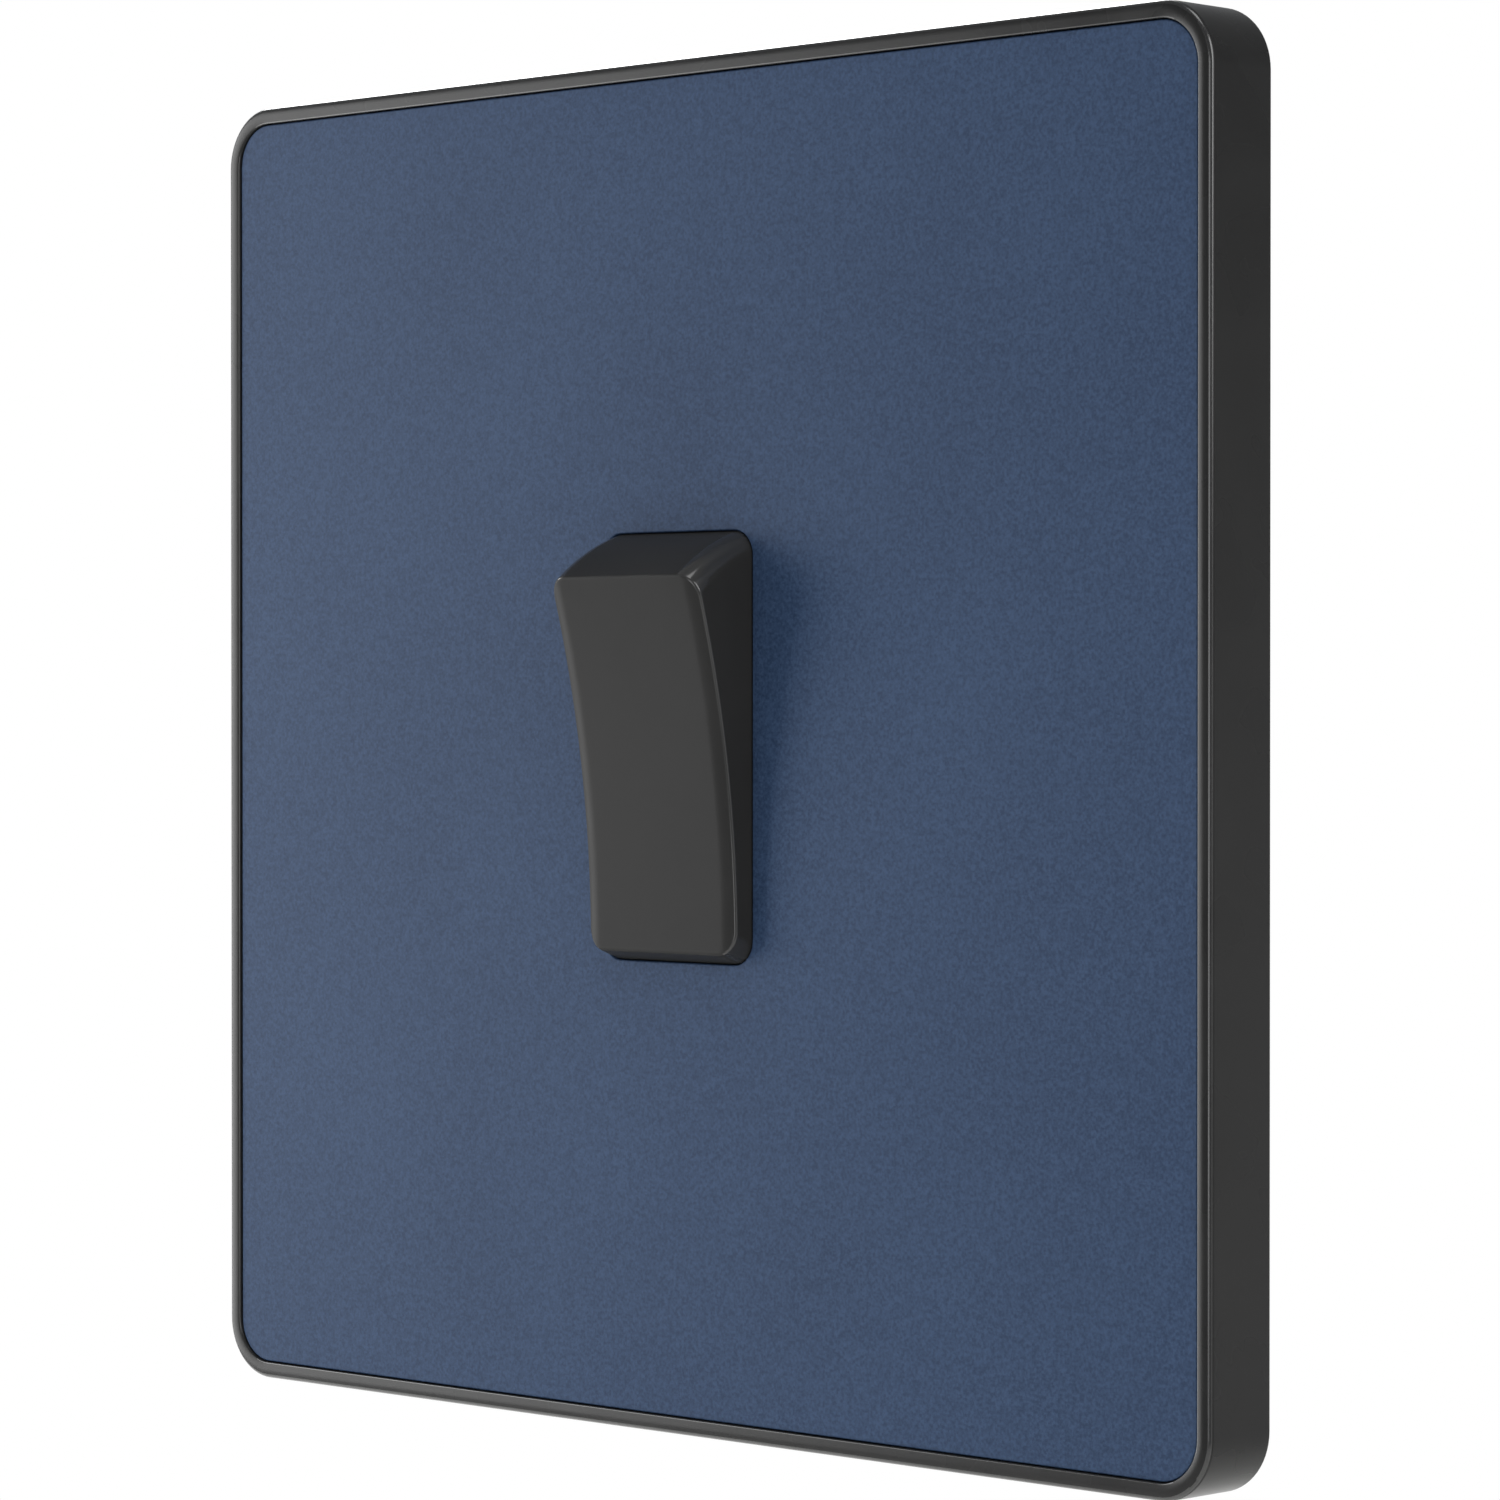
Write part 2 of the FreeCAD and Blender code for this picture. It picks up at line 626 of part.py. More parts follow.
def make_rocker():
    """Dished rocker shell with ribs, a bored boss for the plunger and two moulded pivot pins."""
    body = new_body("rocker")
    side = sketch_on(body, "YZ_Plane", "side")
    rocker_profile(side, "rocker_end_radius", "rocker_face_radius", "rocker_face_height", "rocker_skirt")
    pad(body, side, "rocker_width", both_ways=True)

    skirt = number("rocker_skirt")
    face = number("rocker_face_height")

    def upright_corner(edge):
        bounds = edge.BoundBox
        return bounds.XLength < 1e-3 and bounds.YMax > skirt - 1e-3 and bounds.YMin < -skirt

    def front_rim(edge):
        return edge.BoundBox.YMax < -face + 1e-3

    fillet_edges(body, "rocker_corner_radius", upright_corner)
    fillet_edges(body, "rocker_edge_radius", front_rim)

    for name, sign in (("right", ""), ("left", "-")):
        inner_width = "(rocker_width / 2 - rocker_wall - rib_thickness / 2)"
        middle = f"{sign}(rib_thickness / 2 + {inner_width} / 2)"
        cell = sketch_on(body, "YZ_Plane", f"cell_{name}", middle)
        rocker_profile(
            cell,
            "rocker_end_radius - rocker_wall",
            "rocker_face_radius + rocker_face_wall",
            "rocker_face_height - rocker_face_wall",
            "rocker_skirt + rocker_wall",
        )
        pocket(body, cell, inner_width, both_ways=True)

    ribs = sketch_on(body, "XZ_Plane", "ribs", "rocker_face_height - rocker_face_wall / 2")
    for sign in ("", "-"):
        rectangle(ribs, "rocker_width - rocker_wall", "rib_thickness", "0", f"{sign}rib_offset")
    pad(body, ribs, "rocker_face_height - rocker_face_wall / 2", backwards=True)

    boss = sketch_on(body, "XZ_Plane", "boss", "rocker_face_height - rocker_face_wall / 2")
    circle(boss, "boss_radius")
    pad(body, boss, "rocker_face_height - rocker_face_wall / 2 + boss_length", backwards=True)

    bore = sketch_on(body, "XZ_Plane", "bore", "-boss_length")
    circle(bore, "plunger_bore")
    pocket(body, bore, "boss_length + bore_top", backwards=True)

    for name, sign, backwards in (("right", "", False), ("left", "-", True)):
        pivot = sketch_on(body, "YZ_Plane", f"pivot_{name}", f"{sign}rocker_width / 2")
        circle(pivot, "pivot_radius")
        pad(body, pivot, "pivot_length", backwards=backwards)
    return tilted(body, "pivot_level", "rocker_tilt")


def make_plunger():
    """Round-ended plunger that slides in the rocker's boss."""
    shaft = rod(
        "plunger_shaft", "plunger_radius", "plunger_length - plunger_radius", ("0", "plunger_end", "0"), BACK
    )
    tip = doc.addObject("Part::Sphere", "plunger_tip_ball")
    bind(tip, "Radius", "plunger_radius")
    bind(tip, "Placement.Base.y", "plunger_tip - plunger_radius")
    plunger = fuse("plunger", shaft, tip)
    plunger.Label = "plunger"
    return tilted(plunger, "pivot_level", "rocker_tilt")


def make_spring():
    """Compression spring between the roof of the rocker's bore and the plunger's end."""
    wire = number("spring_wire")
    radius = number("plunger_bore - spring_side_gap - spring_wire / 2")
    start = -number("bore_top") + wire / 2
    length = number("plunger_end") - wire / 2 - start
    helix = Part.makeHelix(length / number("spring_coils"), length, radius)
    helix.rotate(FreeCAD.Vector(0, 0, 0), FreeCAD.Vector(1, 0, 0), -90)
    helix.translate(FreeCAD.Vector(0, start, 0))
    section_centre = FreeCAD.Vector(radius, start, 0)
    section = Part.Circle(section_centre, FreeCAD.Vector(0, 0, 1), wire / 2)
    coil = Part.Wire(helix.Edges).makePipeShell([Part.Wire([section.toShape()])], True, True)
    spring = doc.addObject("Part::Feature", "plunger_spring")
    spring.Shape = coil
    spring.Label = "plunger_spring"
    return tilted(spring, "pivot_level", "rocker_tilt")


# ---------------------------------------------------------------- module housings


def make_case():
    """Front housing: the nose round the rocker, its bearings, and the chamber over the contacts."""
    body = new_body("module_case")
    block = sketch_on(body, "XZ_Plane", "block", "base_front")
    rounded_rectangle(block, "module_width", "module_height", "module_corner_radius")
    pad(body, block, "-base_front")

    nose = sketch_on(body, "XZ_Plane", "nose")
    rectangle(nose, "nose_width", "nose_height")
    pad(body, nose, "nose_front")

    for name, sign in (("top", ""), ("bottom", "-")):
        hooks = sketch_on(body, "XZ_Plane", f"hooks_{name}", "chassis_thickness + hook_gap")
        for offset in ("hook_offset", "-hook_offset"):
            rectangle(
                hooks,
                "hook_width",
                "hook_reach + nose_wall / 2",
                offset,
                f"{sign}(nose_height / 2 + hook_reach / 2 - nose_wall / 4)",
            )
        pad(body, hooks, "hook_thickness")

    well = sketch_on(body, "XZ_Plane", "well", "nose_front")
    rectangle(well, "well_width", "well_height")
    pocket(body, well, "nose_front - partition_front")

    slot = sketch_on(body, "XZ_Plane", "slot", "partition_front")
    rectangle(slot, "2 * slot_half_width", "2 * slot_half_height")
    pocket(body, slot, "partition_thickness")

    chamber = sketch_on(body, "XZ_Plane", "chamber", "base_front")
    rectangle(chamber, "chamber_width", "chamber_height")
    pocket(body, chamber, "partition_back - base_front", backwards=True)

    channels = sketch_on(body, "XZ_Plane", "channels", "base_front")
    inner_z = "chamber_height / 2 - channel_gap"
    for sign in ("", "-"):
        rectangle(
            channels,
            "strip_width + 2 * channel_gap",
            f"strip_end + channel_gap - ({inner_z})",
            "0",
            f"{sign}(strip_end + channel_gap + {inner_z}) / 2",
        )
    pocket(body, channels, "strip_thickness + hook_gap", backwards=True)
    common = sketch_on(body, "XZ_Plane", "common_channel", "base_front")
    inner_x = "chamber_width / 2 - channel_gap"
    polygon(common, common_arm(inner_x, "channel_gap"))
    pocket(body, common, "strip_thickness + hook_gap", backwards=True)

    bearings = sketch_on(body, "YZ_Plane", "bearings")
    circle(bearings, "pivot_radius + running_gap", "-pivot_level")
    pocket(body, bearings, "nose_width", both_ways=True)

    pilots = sketch_on(body, "XZ_Plane", "pilots", "base_front")
    for x, z in case_screw_places():
        circle(pilots, "case_screw_radius + thread_gap", x, z)
    pocket(body, pilots, "case_screw_bite + 2 * channel_gap", backwards=True)
    return body


def common_arm(start, margin):
    """Outline of the common strip from x = start out to its terminal and up along it."""
    half = f"(cradle_width / 2 + {margin})"
    outer = f"common_end + {margin}"
    inner = f"common_end - cradle_width - {margin}"
    top = f"common_offset + {half}"
    return [
        (start, f"-{half}"),
        (outer, f"-{half}"),
        (outer, top),
        (inner, top),
        (inner, half),
        (start, half),
    ]


def case_screw_places():
    return [(f"{sx}case_screw_x", f"{sz}case_screw_z") for sx in ("", "-") for sz in ("", "-")]


def make_base():
    """Rear housing: an insulating slab with an open notch for each terminal and a barrier on each side of it."""
    body = new_body("module_base")
    slab = sketch_on(body, "XZ_Plane", "slab", "base_back")
    rounded_rectangle(slab, "module_width", "module_height", "module_corner_radius")
    pad(body, slab, "base_depth")

    barriers = sketch_on(body, "XZ_Plane", "barriers", "base_back")
    length = "terminal_length - barrier_inset"
    for side in ("", "-"):
        for sign in ("", "-"):
            rectangle(barriers, "barrier_thickness", length, f"{side}barrier_offset",
                      f"{sign}(module_height - terminal_length - barrier_inset) / 2")
        rectangle(barriers, length, "barrier_thickness",
                  "(module_width - terminal_length - barrier_inset) / 2",
                  f"common_offset + {side}barrier_offset")
    pad(body, barriers, "barrier_height", backwards=True)

    panel = sketch_on(body, "XZ_Plane", "panel", "base_back")
    rectangle(panel, "panel_width", "panel_height", "-panel_offset")
    pocket(body, panel, "panel_depth", backwards=True)

    notches = sketch_on(body, "XZ_Plane", "notches", "base_front")
    width = "terminal_width + 2 * terminal_gap"
    depth = "terminal_length + terminal_gap"
    for sign in ("", "-"):
        rectangle(notches, width, f"{depth} + module_corner_radius", "0",
                  f"{sign}(module_height - ({depth}) + module_corner_radius) / 2")
    rectangle(notches, f"{depth} + module_corner_radius", width,
              f"(module_width - ({depth}) + module_corner_radius) / 2", "common_offset")
    pocket(body, notches, "base_depth")

    holes = sketch_on(body, "XZ_Plane", "holes", "base_front")
    for x, z in case_screw_places():
        circle(holes, "case_screw_radius + head_side_gap", x, z)
    pocket(body, holes, "base_depth")
    seats = sketch_on(body, "XZ_Plane", "seats", "base_back")
    for x, z in case_screw_places():
        circle(seats, "case_head_radius + head_side_gap", x, z)
    pocket(body, seats, "counterbore_depth", backwards=True)
    return body


def make_case_screws():
    """Four self-tapping screws from the rear that hold base and case together."""
    head = ("case_head_radius", "case_head_height")
    shank = ("case_screw_radius", "base_depth - counterbore_depth + case_screw_bite")
    screws = [
        screw(f"case_screw_{index}", x, z, "counterbore_level", BACK, head, shank)
        for index, (x, z) in enumerate(case_screw_places())
    ]
    return group("case_screws", screws)


# ---------------------------------------------------------------- terminals and contacts


def make_terminal(name, plane, mouth, sign, front, offset_x="0", offset_z="0", rivet=False):
    """Brass block with a blind conductor bore from its mouth and a tapped hole for the clamp screw.

    The bore runs along Z on the XY plane or along X on the YZ plane; sign points out of the mouth.
    """
    body = new_body(name)
    along_z = plane == "XY_Plane"
    block = sketch_on(body, "XZ_Plane", "block", f"{front} - terminal_depth")
    middle = f"{sign}({mouth} - terminal_length / 2)"
    size = ("terminal_width", "terminal_length") if along_z else ("terminal_length", "terminal_width")
    place = (offset_x, middle) if along_z else (middle, offset_z)
    rectangle(block, *size, *place)
    pad(body, block, "terminal_depth")

    bore = sketch_on(body, plane, "bore", f"{sign}({mouth})")
    depth = f"-({front} - conductor_axis)"
    if along_z:
        circle(bore, "conductor_radius", offset_x, depth)
    else:
        circle(bore, "conductor_radius", depth, offset_z)
    pocket(body, bore, "conductor_depth", backwards=sign == "-")

    tapped = sketch_on(body, "XZ_Plane", "tapped", f"{front} - terminal_depth")
    screw_place = f"{sign}({mouth} - clamp_from_mouth)"
    place = (offset_x, screw_place) if along_z else (screw_place, offset_z)
    circle(tapped, "clamp_screw_radius + thread_gap", *place)
    pocket(body, tapped, "terminal_depth - conductor_axis", backwards=True)

    if rivet:
        hole = sketch_on(body, "XZ_Plane", "rivet_hole", front)
        circle(hole, "rivet_radius + thread_gap", offset_x, f"{sign}({mouth} - terminal_length / 2)")
        pocket(body, hole, "rivet_depth + thread_gap")
    return body


def make_terminals():
    """Line 1 above, line 2 below and the common at the right of the base, and earth on the chassis."""
    half_height, half_width = "module_height / 2", "module_width / 2"
    return [
        make_terminal("line_one_terminal", "XY_Plane", half_height, "", "base_front"),
        make_terminal("line_two_terminal", "XY_Plane", half_height, "-", "base_front"),
        make_terminal(
            "common_terminal", "YZ_Plane", half_width, "", "base_front", offset_z="common_offset"
        ),
        make_terminal(
            "earth_terminal", "XY_Plane", "earth_offset_z + terminal_length / 2", "-", "0",
            offset_x="-earth_offset_x", rivet=True,
        ),
    ]


def clamp_screw(name, x, z, front):
    """A captive terminal screw, backed out until its end clears the conductor bore."""
    seat = f"({front} - terminal_depth)"
    standing = "2 * slot_depth"
    head = ("clamp_head_radius", "clamp_head_height")
    shank = ("clamp_screw_radius", f"{standing} + terminal_depth - conductor_roof - 2 * conductor_radius"
             " - clamp_screw_backout")
    return screw(name, x, z, f"{seat} - {standing}", BACK, head, shank)


def make_clamp_screws():
    z = "(module_height / 2 - clamp_from_mouth)"
    x = "(module_width / 2 - clamp_from_mouth)"
    earth_z = "-(earth_offset_z + terminal_length / 2 - clamp_from_mouth)"
    live = [
        clamp_screw("clamp_line_one", "0", z, "base_front"),
        clamp_screw("clamp_line_two", "0", f"-{z}", "base_front"),
        clamp_screw("clamp_common", x, "common_offset", "base_front"),
    ]
    earth = clamp_screw("earth_screw", "-earth_offset_x", earth_z, "0")
    earth.Label = "earth_screw"
    return [group("terminal_screws", live), earth]


def make_earth_rivet():
    """Rivet that holds the earth terminal behind the chassis."""
    x, z = "-earth_offset_x", "-earth_offset_z"
    head = rod("earth_rivet_head", "rivet_head_radius", "rivet_head_height", (x, "-chassis_thickness", z), FRONT)
    shank = rod(
        "earth_rivet_shank", "rivet_radius", "chassis_thickness + rivet_depth", (x, "-chassis_thickness", z), BACK
    )
    rivet = fuse("earth_rivet", head, shank)
    rivet.Label = "earth_rivet"
    return rivet


def make_contact_strip(name, sign):
    """Flat brass strip from a fixed contact to its line terminal."""
    body = new_body(name)
    outline = sketch_on(body, "XZ_Plane", "outline", "base_front")
    rectangle(outline, "strip_width", "strip_end - strip_start", "0", f"{sign}(strip_end + strip_start) / 2")
    pad(body, outline, "strip_thickness")
    return body


def make_cradle():
    """Common strip with a knife edge that the blade rocks on and ears that keep the blade on it."""
    body = new_body("common_cradle")
    reach = "(blade_width / 2 + ear_gap + ear_thickness)"
    strip = sketch_on(body, "XZ_Plane", "strip", "base_front")
    polygon(strip, common_arm(f"-{reach}", "0"))
    pad(body, strip, "strip_thickness")

    knife = sketch_on(body, "YZ_Plane", "knife")
    foot = "-strip_front + strip_thickness / 2"
    edge = "-(fulcrum_level - knife_gap)"
    polygon(knife, [(edge, "0"), (foot, "-knife_width / 2"), (foot, "knife_width / 2")])
    pad(body, knife, "blade_width", both_ways=True)

    ears = sketch_on(body, "XZ_Plane", "ears", "strip_front - strip_thickness / 2")
    for sign in ("", "-"):
        rectangle(ears, "ear_thickness", "ear_depth", f"{sign}(blade_width / 2 + ear_gap + ear_thickness / 2)")
    pad(body, ears, "blade_front + ear_height - strip_front + strip_thickness / 2")
    return body


def make_blade():
    """See-saw contact blade with round ends, modelled about the fulcrum line."""
    body = new_body("contact_blade")
    outline = sketch_on(body, "XZ_Plane", "outline")
    rounded_rectangle(outline, "blade_width", "blade_length", "tip_radius")
    pad(body, outline, "blade_thickness")
    return tilted(body, "fulcrum_level", "-blade_tilt")


def make_moving_tips():
    """Domed silver contacts on the blade's back, one at each end."""
    tips = []
    for index, sign in enumerate(("", "-")):
        z = f"{sign}contact_arm"
        stem = rod(f"tip_stem_{index}", "tip_radius", "tip_height", ("0", "0", z), BACK)
        dome = doc.addObject("Part::Sphere", f"tip_dome_{index}")
        bind(dome, "Radius", "dome_radius")
        bind(dome, "Placement.Base.y", "-dome_centre")
        bind(dome, "Placement.Base.z", z)
        tip = doc.addObject("Part::MultiCommon", f"moving_tip_{index}")
        tip.Shapes = [stem, dome]
        tips.append(tip)
    return tilted(group("moving_contact_tips", tips), "fulcrum_level", "-blade_tilt")


def make_fixed_tips():
    """Flat silver contacts on the line strips, under the closed position of each moving tip."""
    tips = [
        rod(f"fixed_tip_{index}", "fixed_tip_radius", "fixed_tip_height",
            ("0", "-fixed_tip_front", f"{sign}closed_arm"), BACK)
        for index, sign in enumerate(("", "-"))
    ]
    return group("fixed_contact_tips", tips)


# ---------------------------------------------------------------- assembly


def check_document():
    """Stops if any object of the document failed to build."""
    for item in doc.Objects:
        if "Invalid" in item.State or "Error" in item.State:
            raise RuntimeError(f"{item.Name} failed: {item.State}")


def write_parts(pieces):
    os.makedirs("parts", exist_ok=True)
    for piece in pieces:
        shape = piece.Shape
        if shape.isNull() or not shape.isValid():
            raise RuntimeError(f"{piece.Label} has no valid shape")
        shape.exportStep(f"parts/{piece.Label}.step")
        print(f"{piece.Label:22s} solids {len(shape.Solids)}  volume {shape.Volume:9.2f} mm3")


fill_sheet()
pieces = [
    make_surround(),
    make_facia(),
    make_chassis(),
    make_facia_clips(),
    make_fixing_screws(),
    make_rocker(),
    make_plunger(),
    make_spring(),
    make_case(),
    make_base(),
    make_case_screws(),
    *make_terminals(),
    *make_clamp_screws(),
    make_earth_rivet(),
    make_contact_strip("line_one_strip", ""),
    make_contact_strip("line_two_strip", "-"),
    make_cradle(),
    make_blade(),
    make_moving_tips(),
    make_fixed_tips(),
]
doc.recompute()
check_document()
write_parts(pieces)
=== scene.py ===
# %% [markdown]
# # Dressing a rocker wall switch
#
# A wall switch is mostly moulded plastic, pressed steel and small brass parts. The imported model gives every
# piece its place and its size, in metres, with -Y as the front and the wall plane at Y = 0. This lesson gives
# those pieces their real edges, threads and finishes. Where a CAD piece already has the right shape it stays
# and only gets a material. Where its edges or its threads would look too plain, a finer piece replaces it.

# %% Load the frame
import math

import bmesh
import bpy
from mathutils import Matrix, Vector


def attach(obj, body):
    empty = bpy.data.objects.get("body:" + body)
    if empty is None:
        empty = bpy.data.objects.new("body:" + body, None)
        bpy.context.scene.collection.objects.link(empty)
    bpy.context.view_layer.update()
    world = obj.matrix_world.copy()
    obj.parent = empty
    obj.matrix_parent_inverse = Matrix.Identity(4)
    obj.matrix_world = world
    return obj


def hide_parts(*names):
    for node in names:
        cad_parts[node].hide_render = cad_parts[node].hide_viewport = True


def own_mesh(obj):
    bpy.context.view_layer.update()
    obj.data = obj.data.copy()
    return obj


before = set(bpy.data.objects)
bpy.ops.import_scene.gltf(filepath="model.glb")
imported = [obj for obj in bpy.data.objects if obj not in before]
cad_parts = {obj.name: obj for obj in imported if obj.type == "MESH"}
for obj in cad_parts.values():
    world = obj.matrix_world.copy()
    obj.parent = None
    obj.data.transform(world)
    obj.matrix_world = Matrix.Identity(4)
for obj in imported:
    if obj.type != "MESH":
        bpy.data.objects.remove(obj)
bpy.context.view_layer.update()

MM = 0.001
scene = bpy.context.scene

# %% [markdown]
# ## Camera
#
# A long lens from the right of the plate keeps the square nearly free of convergence while still showing its
# thick right edge. The camera stands a third of a metre away, level with the rocker, with no shift.

# %% Camera
CAMERA_PLACE = (0.2529, -0.25915, 0.00314)
LOOKS_DOWN, TURNED_RIGHT = 0.533, 44.15         # degrees

camera = bpy.data.objects.new("camera", bpy.data.cameras.new("camera"))
camera.data.lens = 124.39
camera.data.sensor_width = 36.0
camera.data.clip_start = 0.01
camera.location = CAMERA_PLACE
camera.rotation_euler = (math.radians(90.0 - LOOKS_DOWN), 0.0, math.radians(TURNED_RIGHT))
scene.collection.objects.link(camera)
scene.camera = camera
scene.view_settings.view_transform = "Standard"
print("camera", round(camera.location.length, 3), "m from the plate's centre")

# %% [markdown]
# ## Colours and nodes
#
# Colours are written as sRGB hex, as a paint chart gives them, and one function turns them into the linear
# values that shaders use. One more function adds a node to any tree, with its settings and its links. The
# others stand for the few nodes that come back in every tree, so a material or a geometry tree reads as a
# short list.

# %% Helpers for every node tree
def linear(hex_colour):
    """Turns an sRGB hex colour such as "#446688" into linear red, green and blue, with an alpha of 1."""
    channels = [int(hex_colour[i : i + 2], 16) / 255 for i in (1, 3, 5)]
    return (*[c / 12.92 if c <= 0.04045 else ((c + 0.055) / 1.055) ** 2.4 for c in channels], 1.0)


def add(tree, kind, inputs=None, **settings):
    """Adds a node. inputs maps a socket's name or number to a value, or to the output that feeds it."""
    node = tree.nodes.new(kind)
    for name, value in settings.items():
        setattr(node, name, value)
    for socket, value in (inputs or {}).items():
        if isinstance(value, bpy.types.NodeSocket):
            tree.links.new(value, node.inputs[socket])
        else:
            node.inputs[socket].default_value = value
    return node


def maths(tree, operation, *values):
    """The output of a Math node."""
    return add(tree, "ShaderNodeMath", dict(enumerate(values)), operation=operation).outputs[0]


def mapped(tree, value, low, high, to_low=0.0, to_high=1.0, kind="LINEAR"):
    """The output of a Map Range node."""
    ranges = {0: value, 1: low, 2: high, 3: to_low, 4: to_high}
    return add(tree, "ShaderNodeMapRange", ranges, interpolation_type=kind).outputs[0]


def between(tree, share, low, high):
    """The output of a Mix node that goes from one colour to another."""
    return add(tree, "ShaderNodeMix", {0: share, 6: low, 7: high}, data_type="RGBA").outputs[2]


print("mid grey in linear:", [round(value, 3) for value in linear("#808080")])

# %% [markdown]
# ## Studio
#
# The light is plain: a large panel at the front, one close by at the left, which makes the left of the plate
# brighter than the right, and weak ones for the thick right edge, the top and the back. The world is white
# where the camera, a reflection or a refraction sees it, with a grey ceiling overhead and a grey room in
# front for reflections to turn dark in. Where it lights the object it is a quiet grey, a little stronger from
# overhead. The floor lies below the switch and fades to that same white, so its rim never shows, but it keeps
# the soft shadow.

# %% Lamps
def panel(name, place, width, height, watts):
    """An upright area lamp at a place, turned to face the plate's centre."""
    lamp = bpy.data.objects.new(name, bpy.data.lights.new(name, "AREA"))
    lamp.data.shape = "RECTANGLE"
    lamp.data.size, lamp.data.size_y = width, height
    lamp.data.energy = watts
    lamp.location = place
    lamp.rotation_euler = (-Vector(place)).to_track_quat("-Z", "Y").to_euler()
    scene.collection.objects.link(lamp)


panel("panel_left", (-0.30, -0.175, 0.01), 0.24, 0.27, 1.12)
panel("panel_front", (0.14, -0.67, 0.02), 0.30, 0.30, 0.76)
panel("panel_right", (0.42, -0.065, 0.20), 0.30, 0.30, 1.35)
panel("panel_top", (0.12, -0.16, 0.50), 0.22, 0.22, 0.55)
panel("panel_back", (-0.34, 0.22, 0.38), 0.25, 0.25, 2.9)

# %% World
ROOM_GREY = "#8e9092"
PALE = "#f4f4f4"
CEILING_FROM, CEILING_TO = -0.10, 0.15          # height of the direction, from 0 level to 1 straight up
ROOM_FROM, ROOM_TO = -0.2, -0.6                 # the same on Y, which is -1 straight in front
OVERHEAD_FROM, OVERHEAD_TO = 0.15, 0.75
FILL_LEVEL, FILL_OVERHEAD = 0.24, 0.62          # strength of the light it gives, level and from overhead


def seen_directly(tree):
    """Two outputs: 1 for a reflected or refracted ray, and 1 for those and for the camera's own rays."""
    path = add(tree, "ShaderNodeLightPath").outputs
    bounced = maths(tree, "MAXIMUM", path["Is Glossy Ray"], path["Is Transmission Ray"])
    return bounced, maths(tree, "MAXIMUM", bounced, path["Is Camera Ray"])


world = bpy.data.worlds.new("studio")
world.use_nodes = True
scene.world = world
tree = world.node_tree
tree.nodes.clear()
bounced, seen = seen_directly(tree)
toward = add(tree, "ShaderNodeSeparateXYZ", {0: add(tree, "ShaderNodeTexCoord").outputs["Generated"]}).outputs
overhead = mapped(tree, toward["Z"], OVERHEAD_FROM, OVERHEAD_TO, kind="SMOOTHSTEP")
above = mapped(tree, toward["Z"], CEILING_FROM, CEILING_TO, kind="SMOOTHSTEP")
in_front = mapped(tree, toward["Y"], ROOM_FROM, ROOM_TO, kind="SMOOTHSTEP")
room = maths(tree, "MULTIPLY", maths(tree, "MAXIMUM", above, in_front), bounced)
shade = between(tree, room, (1, 1, 1, 1), linear(ROOM_GREY))
fill_strength = mapped(tree, overhead, 0.0, 1.0, FILL_LEVEL, FILL_OVERHEAD)
fill = add(tree, "ShaderNodeBackground", {"Color": linear(PALE), "Strength": fill_strength})
white = add(tree, "ShaderNodeBackground", {"Color": shade, "Strength": 1.0})
mixed = add(tree, "ShaderNodeMixShader", {0: seen, 1: fill.outputs[0], 2: white.outputs[0]})
add(tree, "ShaderNodeOutputWorld", {"Surface": mixed.outputs[0]})
print("world", world.name, "has", len(tree.nodes), "nodes")

# %% Floor
FLOOR_LEVEL, FLOOR_RADIUS = -0.15, 0.45
FADE_FROM, FADE_TO = 0.14, FLOOR_RADIUS * 0.95

floor_mesh = bmesh.new()
bmesh.ops.create_circle(floor_mesh, cap_ends=True, segments=96, radius=FLOOR_RADIUS,
                        matrix=Matrix.Translation((0, 0, FLOOR_LEVEL)))
floor_data = bpy.data.meshes.new("floor")
floor_mesh.to_mesh(floor_data)
floor = bpy.data.objects.new("floor", floor_data)
scene.collection.objects.link(floor)

floor_paint = bpy.data.materials.new("pale matt floor paint, rolled")
floor_paint.use_nodes = True
tree = floor_paint.node_tree
tree.nodes.clear()
place = add(tree, "ShaderNodeTexCoord").outputs["Object"]
distance = add(tree, "ShaderNodeVectorMath", {0: place, 1: (0, 0, FLOOR_LEVEL)}, operation="DISTANCE")
fade = mapped(tree, distance.outputs["Value"], FADE_FROM, FADE_TO, kind="SMOOTHSTEP")
fade_seen = maths(tree, "MULTIPLY", fade, seen_directly(tree)[1])
matt = add(tree, "ShaderNodeBsdfDiffuse", {"Color": linear("#f4f4f2")})
glow = add(tree, "ShaderNodeEmission", {"Color": (1, 1, 1, 1), "Strength": 1.0})
mixed = add(tree, "ShaderNodeMixShader", {0: fade_seen, 1: matt.outputs[0], 2: glow.outputs[0]})
add(tree, "ShaderNodeOutputMaterial", {"Surface": mixed.outputs[0]})
floor_data.materials.append(floor_paint)
print("floor", FLOOR_RADIUS, "m in radius at", FLOOR_LEVEL, "m")

# %% [markdown]
# ## Finishes
#
# Every material starts from what the real one is and how its surface was made. The uniform numbers go
# straight on the shader's sockets. Patterns read Object coordinates, whose unit is the metre, so a noise
# scale of 1000 / size gives grains of that many millimetres.

# %% Start of every material
ROUGHNESS_SPREAD = 0.03      # how far the roughness strays to either side


